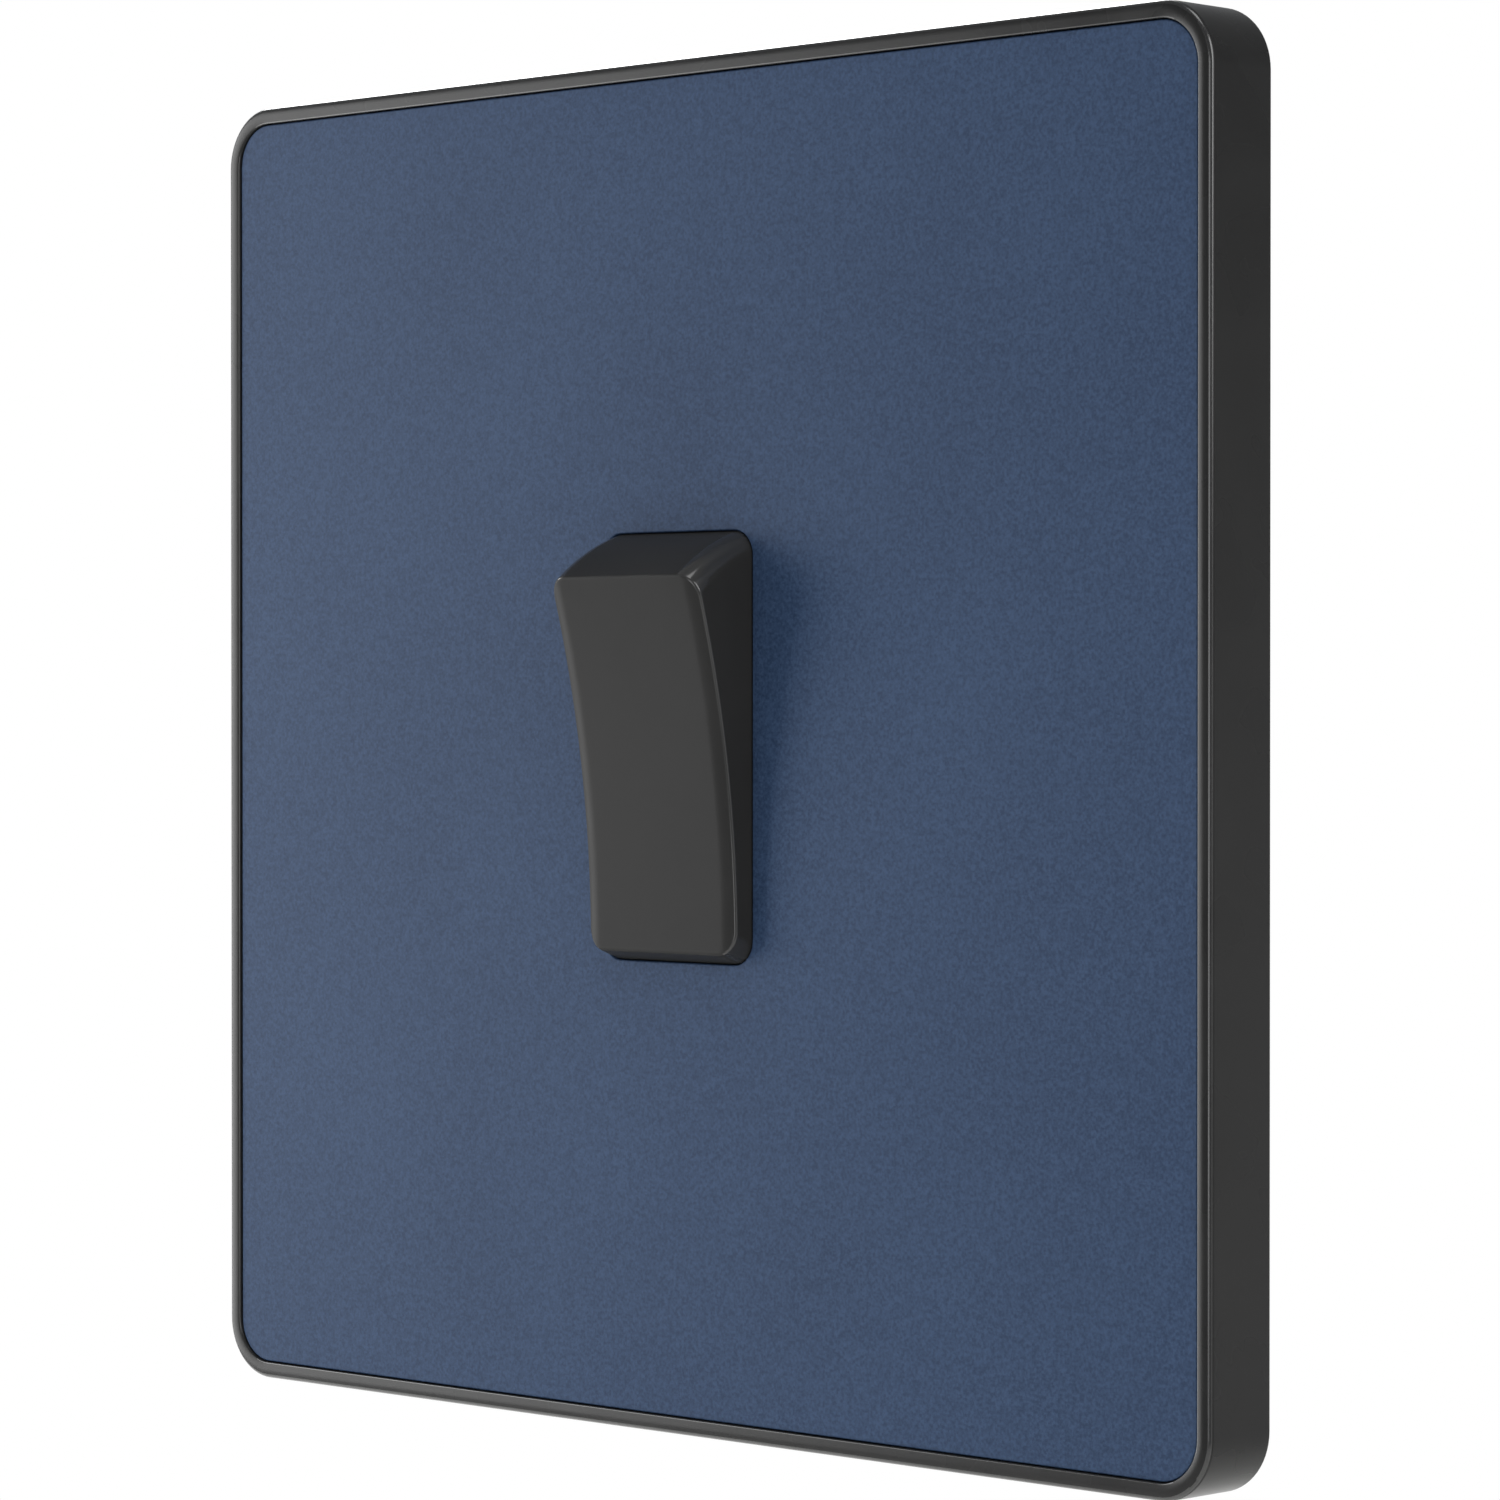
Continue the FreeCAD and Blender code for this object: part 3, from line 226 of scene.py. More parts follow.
def finish(name, colour, roughness, metallic=0.0, **numbers):
    """A material with one principled shader: itself, its tree, its shader and the Object coordinates.

    numbers are further sockets of the shader, with _ in place of spaces.
    """
    material = bpy.data.materials.new(name)
    material.use_nodes = True
    tree = material.node_tree
    tree.nodes.clear()
    shader = add(tree, "ShaderNodeBsdfPrincipled",
                 {"Base Color": linear(colour), "Roughness": roughness, "Metallic": metallic})
    for socket, value in numbers.items():
        shader.inputs[socket.replace("_", " ")].default_value = value
    add(tree, "ShaderNodeOutputMaterial", {"Surface": shader.outputs[0]})
    place = add(tree, "ShaderNodeTexCoord").outputs["Object"]
    return material, tree, shader, place


def grains(tree, place, size, **numbers):
    """A noise with grains of that size in millimetres. numbers are further sockets."""
    return add(tree, "ShaderNodeTexNoise", {"Vector": place, "Scale": 1000 / size, **numbers}).outputs["Fac"]


def coat(tree, shader, share, low, high, height, strength, depth):
    """Feeds a shader a colour from low to high by share, and a bump by height. depth is in millimetres."""
    tree.links.new(between(tree, share, linear(low), linear(high)), shader.inputs["Base Color"])
    bump = add(tree, "ShaderNodeBump", {"Height": height, "Strength": strength, "Distance": depth * MM})
    tree.links.new(bump.outputs[0], shader.inputs["Normal"])


def vary_roughness(tree, shader, pattern, low, high, roughness):
    """Lets a pattern, as it goes from low to high, move the roughness a little round its middle value."""
    varied = mapped(tree, pattern, low, high, roughness - ROUGHNESS_SPREAD, roughness + ROUGHNESS_SPREAD)
    tree.links.new(varied, shader.inputs["Roughness"])


# %% [markdown]
# ### Painted facia
#
# The facia is a thin steel plate sprayed with a soft-touch polyurethane paint. Such paint dries matt with a
# fine orange peel, grains about a fifth of a millimetre across, and the eye sees it as a faint sparkle of
# lighter and darker blue. So the same noise drives both a small change of colour and a shallow bump.

# %% Soft-touch paint
PEEL_SIZE, CLOUD_SIZE, CLOUD_SHARE = 0.20, 18.0, 0.15


def sprayed_paint(name, low, high):
    """Matt paint: fine peel, and a much slower cloud that shifts its colour a little."""
    material, tree, shader, place = finish(name, high, 0.5, Specular_IOR_Level=0.08)
    peel = grains(tree, place, PEEL_SIZE, Detail=2.0, Roughness=0.6)
    cloud = grains(tree, place, CLOUD_SIZE, Detail=1.0)
    both = maths(tree, "MULTIPLY_ADD", cloud, CLOUD_SHARE, peel)
    coat(tree, shader, mapped(tree, both, 0.38, 0.77), low, high, peel, 0.35, 0.03)
    return material


facia_paint = sprayed_paint("soft_touch_paint_sprayed_on_steel", "#23324a", "#334560")
print("made", facia_paint.name)

# %% [markdown]
# ### Moulded plastics
#
# A moulding copies its tool. A spark-eroded tool leaves a fine even texture, which makes the plastic satin,
# and a polished tool leaves it glossy with only a slow waviness. Filled plastics, such as the urea of the
# base, also show a faint mottle of two near colours. One function makes them all from those few numbers:
# the two colours, the roughness, the size of the texture in millimetres and its depth.

# %% Moulded plastics
FLOW_SIZE = 7.0


def moulded(name, low, high, roughness, texture, depth, **numbers):
    """texture is the size of the tool's grain and depth its depth, both in millimetres."""
    material, tree, shader, place = finish(name, high, roughness, **numbers)
    eroded = grains(tree, place, texture, Detail=3.0, Roughness=0.55)
    flow = grains(tree, place, FLOW_SIZE, Detail=2.0, Distortion=0.6)
    mottle = maths(tree, "MULTIPLY_ADD", eroded, 0.5, flow)
    coat(tree, shader, mapped(tree, mottle, 0.5, 1.0), low, high, eroded, 0.5, depth)
    vary_roughness(tree, shader, flow, 0.3, 0.7, roughness)
    return material


plastic = {
    # Satin black ABS from a spark-eroded tool: the edge frame, soft highlights along its rounded edges
    "surround": moulded("abs_black_moulded_satin", "#1c1c1c", "#202020", 0.28, 0.22, 0.004,
                        Specular_IOR_Level=0.18),
    # A glossier copy of the same ABS, put only where a thin line of light should show: a painted highlight
    # the lamps draw
    "surround_highlight_gloss": moulded("abs_black_moulded_glossy_copy_painted_highlight", "#1c1c1c", "#202020", 0.20, 0.22, 0.001,
                             Specular_IOR_Level=0.75),
    # Black polycarbonate from a fine-lapped tool: the rocker, smoother to the finger and to the eye
    "rocker": moulded("polycarbonate_black_moulded", "#282828", "#2b2b2b", 0.34, 0.16, 0.003,
                      Specular_IOR_Level=0.05),
    # A glossier, slightly lighter copy of the polycarbonate for the rocker's rim and corners: a painted
    # highlight
    "rocker_highlight_gloss": moulded("polycarbonate_black_lighter_glossy_copy_painted_highlight", "#2b2b2b", "#2e2e2e", 0.16, 0.16, 0.001,
                           Specular_IOR_Level=0.5),
    # Glass-filled nylon: the front housing, dark grey with a dull, slightly fibrous skin
    "case": moulded("nylon_glass_filled_moulded", "#26282a", "#303235", 0.46, 0.45, 0.015),
    # Urea formaldehyde, pressed hot from powder: the rear base, off-white and hard with a faint mottle
    "base": moulded("urea_white_compression_moulded", "#d6d5cd", "#e4e3dc", 0.33, 0.5, 0.005),
    # Acetal turned from bar: the plunger, milky and slippery
    "plunger": moulded("acetal_natural_turned", "#dcdad2", "#e9e7e0", 0.28, 0.12, 0.003),
}
print("made", [material.name for material in plastic.values()])

# %% [markdown]
# ### Metals
#
# Rolled strip and pressed sheet carry fine lines in the rolling direction, and a plated surface is a little
# cloudy. A metal's look is in its roughness more than in its colour, so a stretched noise drives the
# roughness and a very shallow bump, and a slow noise shifts the colour slightly where the plating is thicker
# or the brass has begun to dull.

# %% Metals
DULLING_SIZE, LINE_DEPTH = 5.0, 0.004


def metal(name, dull, bright, roughness, line, along):
    """line is the lines' width in millimetres, and along is how much longer they are on X, Y and Z."""
    material, tree, shader, place = finish(name, bright, roughness, metallic=1.0)
    stretched = add(tree, "ShaderNodeMapping", {"Vector": place, "Scale": [1 / value for value in along]})
    lines = grains(tree, stretched.outputs[0], line, Detail=3.0, Roughness=0.6)
    cloud = grains(tree, place, DULLING_SIZE, Detail=3.0)
    coat(tree, shader, mapped(tree, cloud, 0.2, 0.8), dull, bright, lines, 0.5, LINE_DEPTH)
    vary_roughness(tree, shader, maths(tree, "ADD", cloud, lines), 0.7, 1.3, roughness)
    return material


metals = {
    # Sheet steel pressed and bright zinc plated: the chassis, blue-white with faint vertical rolling lines
    "zinc": metal("zinc_plated_steel_pressed", "#8f9599", "#9ca2a6", 0.30, 0.10, (1, 1, 14)),
    # Steel turned and nickel plated: every screw, slightly warm and brighter than zinc
    "nickel": metal("nickel_plated_steel_turned", "#958f85", "#a7a197", 0.24, 0.08, (1, 1, 1)),
    # Hard spring steel as drawn or rolled: clips and spring, darker and a little oily
    "spring": metal("spring_steel_drawn", "#6f7376", "#85898b", 0.30, 0.06, (1, 1, 10)),
    # Brass bar, extruded and milled: the terminals, pale gold with cutter lines
    "brass_bar": metal("brass_extruded_and_milled", "#a8833f", "#b99450", 0.28, 0.12, (9, 1, 9)),
    # Brass strip, rolled and blanked: the current-carrying strips
    "brass_strip": metal("brass_strip_rolled", "#a98341", "#c7a259", 0.32, 0.08, (1, 1, 12)),
    # Phosphor bronze, rolled hard: the rocking blade, redder than brass
    "bronze": metal("phosphor_bronze_rolled", "#a06a43", "#bd8558", 0.30, 0.08, (1, 1, 12)),
    # Silver alloy buttons, cold headed: the contact tips, the whitest metal here
    "silver": metal("silver_alloy_cold_headed", "#c9c7c2", "#e3e1dc", 0.26, 0.10, (1, 1, 1)),
}
print("made", [material.name for material in metals.values()])

# %% [markdown]
# ## Shared shaping helpers
#
# Most mouldings here are a rounded rectangle that changes size as it goes back: outside, over an edge, in to
# an opening, and back again. Skinning such rings one to the next gives clean quads and exact edge radii,
# where a boolean would leave slivers. Every ring has the same number of points, so any two can be joined.

# %% Rings and skins
CORNER_POINTS = 10


def ring(half_x, half_z, radius, side_points=8):
    """(x, z) points of a rounded rectangle, anticlockwise from the bottom of the right side."""
    radius = min(radius, half_x, half_z)
    corners = []
    for quarter, (side_x, side_z) in enumerate([(1, -1), (1, 1), (-1, 1), (-1, -1)]):
        centre = Vector((side_x * (half_x - radius), side_z * (half_z - radius)))
        turns = [quarter - 1 + step / CORNER_POINTS for step in range(CORNER_POINTS + 1)]
        angles = [math.radians(90 * turn) for turn in turns]
        corners.append([centre + radius * Vector((math.cos(a), math.sin(a))) for a in angles])
    points = []
    for corner, following in zip(corners, corners[1:] + corners[:1]):
        points += corner
        points += [corner[-1].lerp(following[0], step / side_points) for step in range(1, side_points)]
    return points


def skin(shape, rings, closed=False):
    """Joins rings of 3-D points, each to the next, with quads."""
    rows = [[shape.verts.new(point) for point in points] for points in rings]
    following = rows[1:] + rows[:1] if closed else rows[1:]
    for near, far in zip(rows, following):
        for i in range(len(near)):
            j = (i + 1) % len(near)
            shape.faces.new((near[i], near[j], far[j], far[i]))


def block(shape, low, high):
    """A box between two corners. Millimetres."""
    low, high = Vector(low), Vector(high)
    bmesh.ops.create_cube(shape, size=1.0, matrix=Matrix.Translation((low + high) / 2)
                          @ Matrix.Diagonal(high - low).to_4x4())


def slab(shape, outline, left, right):
    """A flat piece with an outline of (y, z) points, between two places on X. Millimetres."""
    rows = [[shape.verts.new((x, y, z)) for y, z in outline] for x in (left, right)]
    for i in range(len(outline)):
        j = (i + 1) % len(outline)
        shape.faces.new((rows[0][i], rows[0][j], rows[1][j], rows[1][i]))
    shape.faces.new(rows[0])
    shape.faces.new(list(reversed(rows[1])))


def lathe(shape, profile, segments=48, axis="Y"):
    """Turns (distance from the axis, place along it) points round the Y or X axis."""
    rings = []
    for radius, along in profile:
        circle = []
        for step in range(segments):
            angle = 2 * math.pi * step / segments
            u, v = radius * math.cos(angle), radius * math.sin(angle)
            circle.append(Vector((u, along, v) if axis == "Y" else (along, u, v)))
        rings.append(circle)
    skin(shape, rings)


def arc(centre, radius, start, end, steps=6):
    """Points of an arc, angles in degrees."""
    angles = [math.radians(start + (end - start) * step / steps) for step in range(steps + 1)]
    return [(centre[0] + radius * math.cos(a), centre[1] + radius * math.sin(a)) for a in angles]


# %% From a shape to a piece on its body
MERGE, SLIVER = 0.0005, 0.0002      # millimetres


def complete(name, shape, material, body, replaced, sharp=35, turn=None):
    """Closes a shape made in millimetres, turns it into a piece in metres and places it on its body."""
    bmesh.ops.remove_doubles(shape, verts=shape.verts, dist=MERGE)
    bmesh.ops.dissolve_degenerate(shape, edges=shape.edges, dist=SLIVER)
    bmesh.ops.recalc_face_normals(shape, faces=shape.faces)
    if turn:
        shape.transform(turn)
    shape.transform(Matrix.Scale(MM, 4))
    data = bpy.data.meshes.new(name)
    shape.to_mesh(data)
    shape.free()
    return place_piece(name, data, material, body, replaced, sharp)


def place_piece(name, data, material, body, replaced, sharp=35, weighted=True):
    """Shades a mesh smooth between its sharp edges and makes it a piece that stands for CAD nodes."""
    data.shade_smooth()
    data.set_sharp_from_angle(angle=math.radians(sharp))
    data.materials.clear()
    data.materials.append(material)
    piece = bpy.data.objects.new(name, data)
    scene.collection.objects.link(piece)
    if weighted:
        modifier = piece.modifiers.new("even_shading", "WEIGHTED_NORMAL")
        modifier.keep_sharp = True
        baked = bpy.data.meshes.new_from_object(piece.evaluated_get(bpy.context.evaluated_depsgraph_get()))
        piece.modifiers.clear()
        baked.name = name
        piece.data = baked
    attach(piece, body)
    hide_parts(*replaced)
    triangles = sum(len(face.vertices) - 2 for face in piece.data.polygons)
    print(f"{name}: {triangles} triangles, body {body}")
    return piece


def give_highlight_gloss(piece, material, chosen):
    """Gives the faces that chosen(centre in millimetres, normal) picks a second, glossier material: a painted
    highlight.
    """
    piece.data.materials.append(material)
    faces = [face for face in piece.data.polygons if chosen(face.center / MM, face.normal)]
    for face in faces:
        face.material_index = 1
    print(f"{piece.name}: {len(faces)} faces given_highlight_gloss")


# %% [markdown]
# ## Surround
#
# The surround is the black moulded frame: a narrow lip round the facia, an outer wall that reaches the wall,
# and a floor behind the facia with an opening for the switch's nose. Its rim has one section all the way
# round, so Geometry Nodes sweep that section round a square with filleted corners. The same tree fills and
# thickens the floor and sets the four ribs that push into the clips. Sweeping keeps every corner radius
# concentric, as the moulding's even wall is.

# %% Section of the rim
OUTER = 47.5                                 # half the plate, and where the section's offsets start
CORNER_RADIUS = 4.3
LIP_FRONT, SEAT, FLOOR_BACK = -6.1, -5.1, -3.8      # the facia lies on the seat, the front of the floor
LIP_WIDTH, SIDE_WALL, STEP = 1.18, 1.6, -4.5        # the lip meets the thicker wall at the step
BACK_EDGE, BACK_CHAMFER = 0.25, 0.1
FRONT_EDGE, FRONT_EDGE_BACK = 0.36, 0.397    # radius, and how far its centre lies behind the lip's front
LIP_EDGE, LIP_EDGE_BACK = 0.12, 0.163        # the same for the lip's inner edge
CROWN, CROWN_MIDDLE = 1.8, -0.684            # radius of the lip's faint crown, and its middle

section = arc((-BACK_EDGE, -BACK_EDGE), BACK_EDGE, 90, 0)
section += arc((-FRONT_EDGE, LIP_FRONT + FRONT_EDGE_BACK), FRONT_EDGE, 0, -77, 8)
section += arc((CROWN_MIDDLE, LIP_FRONT + CROWN), CROWN, -80, -100, 5)
section += arc((-LIP_WIDTH + LIP_EDGE, LIP_FRONT + LIP_EDGE_BACK), LIP_EDGE, -103, -180, 4)
section += [(-LIP_WIDTH, STEP), (-SIDE_WALL, STEP)]
section += [(-SIDE_WALL, -BACK_CHAMFER), (-SIDE_WALL + BACK_CHAMFER, 0.0)]
print(len(section), "points in the rim's section")

# %% Helpers for geometry trees
def new_tree(name, source, inputs):
    """A tree with a source geometry, named inputs with usual values, and a material. Also its inputs."""
    kinds = {float: "NodeSocketFloat", int: "NodeSocketInt", tuple: "NodeSocketVector"}
    tree = bpy.data.node_groups.new(name, "GeometryNodeTree")
    tree.interface.new_socket(name=source, in_out="INPUT", socket_type="NodeSocketGeometry")
    for label, value in inputs.items():
        made = tree.interface.new_socket(name=label, in_out="INPUT", socket_type=kinds[type(value)])
        made.default_value = value
    tree.interface.new_socket(name="Material", in_out="INPUT", socket_type="NodeSocketMaterial")
    tree.interface.new_socket(name="Geometry", in_out="OUTPUT", socket_type="NodeSocketGeometry")
    return tree, add(tree, "NodeGroupInput").outputs


def end_tree(tree, geometry, material):
    """Makes instances real, gives everything its material and hands it to the tree's output."""
    solid = add(tree, "GeometryNodeRealizeInstances", {"Geometry": geometry})
    dressed = add(tree, "GeometryNodeSetMaterial", {"Geometry": solid.outputs[0], "Material": material})
    add(tree, "NodeGroupOutput", {"Geometry": dressed.outputs[0]})
    print("tree", tree.name, "has", len(tree.nodes), "nodes")


def join(tree, *parts):
    """The parts as one geometry."""
    joined = add(tree, "GeometryNodeJoinGeometry")
    for part in parts:
        tree.links.new(part, joined.inputs[0])
    return joined.outputs[0]


def moved(tree, geometry, **changes):
    """A geometry with a Translation, a Rotation or a Scale."""
    return add(tree, "GeometryNodeTransform", {"Geometry": geometry, **changes}).outputs[0]


def vector(tree, **parts):
    """A vector from its X, Y and Z, each 0 if it isn't given."""
    return add(tree, "ShaderNodeCombineXYZ", parts).outputs[0]


def rectangle(tree, width, height):
    """A rectangle's curve, round the origin."""
    sizes = {"Width": width, "Height": height}
    return add(tree, "GeometryNodeCurvePrimitiveQuadrilateral", sizes, mode="RECTANGLE").outputs[0]


def filleted(tree, curve, radius, points):
    """A curve with rounded corners."""
    rounding = {"Curve": curve, "Radius": radius, "Count": points}
    return add(tree, "GeometryNodeFilletCurve", rounding, mode="POLY").outputs[0]


def swept(tree, curve, profile, caps=False):
    """A profile swept along a curve without twisting."""
    upright = add(tree, "GeometryNodeSetCurveNormal", {"Curve": curve}, mode="Z_UP")
    ends = {"Curve": upright.outputs[0], "Profile Curve": profile, "Fill Caps": caps}
    return add(tree, "GeometryNodeCurveToMesh", ends).outputs[0]


print("made 8 helpers")

# %% Tree for the rim, the floor and the ribs
frame_tree, given = new_tree("moulded_frame", "Section", {
    "Size": 0.095, "Corner Radius": 0.0043, "Corner Points": 16, "Floor Inset": 0.0013,
    "Floor Front": 0.0051, "Floor Thickness": 0.0013, "Opening Width": 0.0198, "Opening Height": 0.0362,
    "Rib Size": (0.0008, 0.007, 0.0023), "Rib Spacing": (0.073, 0.048, 0.0), "Rib Setback": 0.0011,
})

# The sides are cut first, so that the rim's long faces are not one strip each
square = rectangle(frame_tree, given["Size"], given["Size"])
cut = add(frame_tree, "GeometryNodeSubdivideCurve", {"Curve": square, "Cuts": 5})
path = filleted(frame_tree, cut.outputs[0], given["Corner Radius"], given["Corner Points"])
line = add(frame_tree, "GeometryNodeMeshToCurve", {"Mesh": given["Section"]})
rim = swept(frame_tree, path, line.outputs[0])

floor_size = maths(frame_tree, "MULTIPLY_ADD", given["Floor Inset"], -2.0, given["Size"])
floor_radius = maths(frame_tree, "SUBTRACT", given["Corner Radius"], given["Floor Inset"])
floor_square = rectangle(frame_tree, floor_size, floor_size)
floor_edge = filleted(frame_tree, floor_square, floor_radius, given["Corner Points"])
opening = rectangle(frame_tree, given["Opening Width"], given["Opening Height"])
sheet_edges = join(frame_tree, floor_edge, opening)
sheet = add(frame_tree, "GeometryNodeFillCurve", {"Curve": sheet_edges}, mode="TRIANGLES")
seat = moved(frame_tree, sheet.outputs[0], Translation=vector(frame_tree, Z=given["Floor Front"]))
backwards = maths(frame_tree, "MULTIPLY", given["Floor Thickness"], -1.0)
thick = add(frame_tree, "GeometryNodeExtrudeMesh",
            {"Mesh": seat, "Offset Scale": backwards, "Individual": False}, mode="FACES")
floor_parts = join(frame_tree, seat, thick.outputs[0])

places = add(frame_tree, "GeometryNodeMeshGrid",
             {"Vertices X": 2, "Vertices Y": 2, "Size X": 1.0, "Size Y": 1.0})
spaced = moved(frame_tree, places.outputs[0], Scale=given["Rib Spacing"])
rib = add(frame_tree, "GeometryNodeMeshCube", {"Size": given["Rib Size"]})
rib_depth = add(frame_tree, "ShaderNodeSeparateXYZ", {0: given["Rib Size"]}).outputs["Z"]
rib_middle = maths(frame_tree, "MULTIPLY_ADD", rib_depth, -0.5, given["Floor Front"])
rib_level = maths(frame_tree, "SUBTRACT", rib_middle, given["Rib Setback"])
rib_lifted = moved(frame_tree, rib.outputs[0], Translation=vector(frame_tree, Z=rib_level))
ribs = add(frame_tree, "GeometryNodeInstanceOnPoints", {"Points": spaced, "Instance": rib_lifted})

everything = join(frame_tree, rim, floor_parts, ribs.outputs[0])
standing = moved(frame_tree, everything, Rotation=(math.radians(90), 0, 0))
end_tree(frame_tree, standing, given["Material"])

# %% Run a tree and keep its mesh
def grown(name, source, tree, **inputs):
    """Runs a tree on a source mesh and returns a plain mesh. Inputs are named as in the tree."""
    holder = bpy.data.objects.new(name, source)
    scene.collection.objects.link(holder)
    modifier = holder.modifiers.new(tree.name, "NODES")
    modifier.node_group = tree
    by_name = {item.name: item.identifier for item in tree.interface.items_tree
               if item.item_type == "SOCKET" and item.in_out == "INPUT"}
    for key, value in inputs.items():
        modifier[by_name[key.replace("_", " ")]] = value
    evaluated = holder.evaluated_get(bpy.context.evaluated_depsgraph_get())
    result = bpy.data.meshes.new_from_object(evaluated)
    bpy.data.objects.remove(holder)
    result.name = name
    return result


def tidied(data):
    """Merges doubles and turns every face outward."""
    shape = bmesh.new()
    shape.from_mesh(data)
    bmesh.ops.remove_doubles(shape, verts=shape.verts, dist=MERGE * MM)
    bmesh.ops.recalc_face_normals(shape, faces=shape.faces)
    shape.to_mesh(data)
    shape.free()
    return data


# %% Grow the surround
HIGHLIGHT_BAND = 1.3              # the painted highlight line lies within this of the plate's outside
HIGHLIGHT_TURN = (0.5, 0.96)      # and where this share of the normal faces the front


def on_front_edge_highlight(centre, normal):
    """True on the rounded front edge, where it turns from the lip towards the side: there the glossy copy
    paints a highlight line.
    """
    outside = max(abs(centre.x), abs(centre.z)) > OUTER - HIGHLIGHT_BAND
    return outside and centre.y < SEAT - 0.1 and HIGHLIGHT_TURN[0] < -normal.y < HIGHLIGHT_TURN[1]


outline = bpy.data.meshes.new("rim_section")
outline.from_pydata([(x * MM, y * MM, 0) for x, y in section],
                    [(i, (i + 1) % len(section)) for i in range(len(section))], [])
data = grown("surround_frame", outline, frame_tree, Size=2 * OUTER * MM, Corner_Radius=CORNER_RADIUS * MM,
             Floor_Front=-SEAT * MM, Floor_Thickness=(FLOOR_BACK - SEAT) * MM, Material=plastic["surround"])
surround = place_piece(data.name, tidied(data), plastic["surround"], "front_cover", ["surround"],
                       sharp=30)
# The rounded front edge gets the glossy copy of the ABS: a painted highlight line.
give_highlight_gloss(surround, plastic["surround_highlight_gloss"], on_front_edge_highlight)

# %% [markdown]
# ## Facia
#
# The facia is one sheet, blanked and then painted, so its edges are rounded only by the paint. A few rings do
# the outside edge, and a few more the edge of the aperture, and the wide face is the skin between them.

# %% Facia plate
FACIA_HALF, FACIA_CORNER, FACIA_FRONT = 46.25, 3.0, -5.9
APERTURE_WIDTH, APERTURE_HEIGHT, APERTURE_CORNER = 14.5, 29.74, 1.75
PAINT_EDGE = 0.12

outside = [(0.0, SEAT), *arc((-PAINT_EDGE, FACIA_FRONT + PAINT_EDGE), PAINT_EDGE, 0, -90, 4)]
inside = [*arc((PAINT_EDGE, FACIA_FRONT + PAINT_EDGE), PAINT_EDGE, -90, -180, 4), (0.0, SEAT)]
rings = []
for offset, y in outside:
    points = ring(FACIA_HALF + offset, FACIA_HALF + offset, FACIA_CORNER + offset)
    rings.append([(x, y, z) for x, z in points])
for offset, y in inside:
    points = ring(APERTURE_WIDTH / 2 + offset, APERTURE_HEIGHT / 2 + offset, APERTURE_CORNER + offset)
    rings.append([(x, y, z) for x, z in points])
shape = bmesh.new()
skin(shape, rings, closed=True)
complete("facia_sheet", shape, facia_paint, "front_cover", ["facia_plate"])

# %% [markdown]
# ## Rocker
#
# The rocker is a dished shell. Its two ends are parts of a cylinder about the pivot, so the gap to the facia
# stays even while it tilts, and its face is a shallow hollow for the finger that rolls back at both sides.
# Each ring of the skin follows the hollow: it is a rounded rectangle whose height is worked out where the
# face meets the end cylinder. Behind, the shell has ribs, a bored boss for the plunger and two round pins. It
# is modelled upright about its pivot and then turned to its rest angle.

# %% Rocker sizes and rings
PIVOT = Vector((0.0, -1.5, 0.0))
REST_TILT = 8.6
HALF_WIDTH, END_RADIUS, FACE_HEIGHT, FACE_RADIUS = 7.15, 15.38, 7.10, 86.0
SKIRT = 1.0                         # how far the walls reach behind the pivot
CORNER, RIM = 1.6, 0.15
ROLL_WIDTH, ROLL_DROP = 1.25, 0.27
WALL, FACE_WALL = 1.3, 1.6
SIDE_POINTS = 20                    # more than a flat piece has, so that the hollow is smooth


def face_at(z):
    """How far the dished face stands in front of the pivot at height z."""
    return FACE_HEIGHT + FACE_RADIUS - math.sqrt(FACE_RADIUS**2 - z**2)


def rolled(x):
    """How far the face rolls back towards its two long edges."""
    return ROLL_DROP * max(0.0, 1 - (HALF_WIDTH - abs(x)) / ROLL_WIDTH) ** 2


def reach(inset, drop):
    """Half height of the ring that lies inset from the sides and drop behind the face, found by halving."""
    low, high = 0.0, END_RADIUS
    for _ in range(40):
        middle = (low + high) / 2
        inside = middle**2 + (face_at(middle) - drop) ** 2 < (END_RADIUS - inset) ** 2
        low, high = (middle, high) if inside else (low, middle)
    return low


def face_ring(inset, drop, corner=None):
    """A ring on the face, or the same distance behind it."""
    corner = max(CORNER - inset, 0.02) if corner is None else corner
    points = ring(HALF_WIDTH - inset, reach(inset, drop), corner, SIDE_POINTS)
    return [(x, rolled(x) + drop - face_at(z), z) for x, z in points]


def wall_ring(inset, drop, share):
    """A ring on the walls, share of the way from the face's edge to the straight back edge."""
    end_y = (1 - share) * -(face_at(reach(inset, drop)) - drop) + share * SKIRT
    half_z = math.sqrt((END_RADIUS - inset) ** 2 - end_y**2)
    points = ring(HALF_WIDTH - inset, half_z, max(CORNER - inset, 0.02), SIDE_POINTS)
    scale = reach(inset, drop) / half_z
    return [(x, (1 - share) * (rolled(x) + drop - face_at(z * scale)) + share * SKIRT, z) for x, z in points]


print("half height of the face:", round(reach(RIM, 0.0), 2), "mm")

# %% Rocker shell, ribs, boss and pins
ROOF = -(FACE_HEIGHT - FACE_WALL / 2)       # where ribs and boss start, inside the face's wall
WEB_HALF, WEB_START, WEB_STEP = 0.6, 2.2, 1.3
RIB_HALF, RIB_PLACE = 0.6, 8.4
BOSS_RADIUS, BOSS_END, BOSS_CHAMFER = 2.9, 4.5, 0.2
BORE_RADIUS, BORE_TOP, BORE_CHAMFER = 1.65, -4.47, 0.15
PIN_RADIUS, PIN_START, PIN_END, PIN_CHAMFER = 1.5, 6.6, 9.0, 0.25
FACE_INSETS = (5.6, 4.0, 2.6, 1.9, 1.6, 1.3, 1.1, 0.9, 0.7, 0.5, 0.35, 0.23)

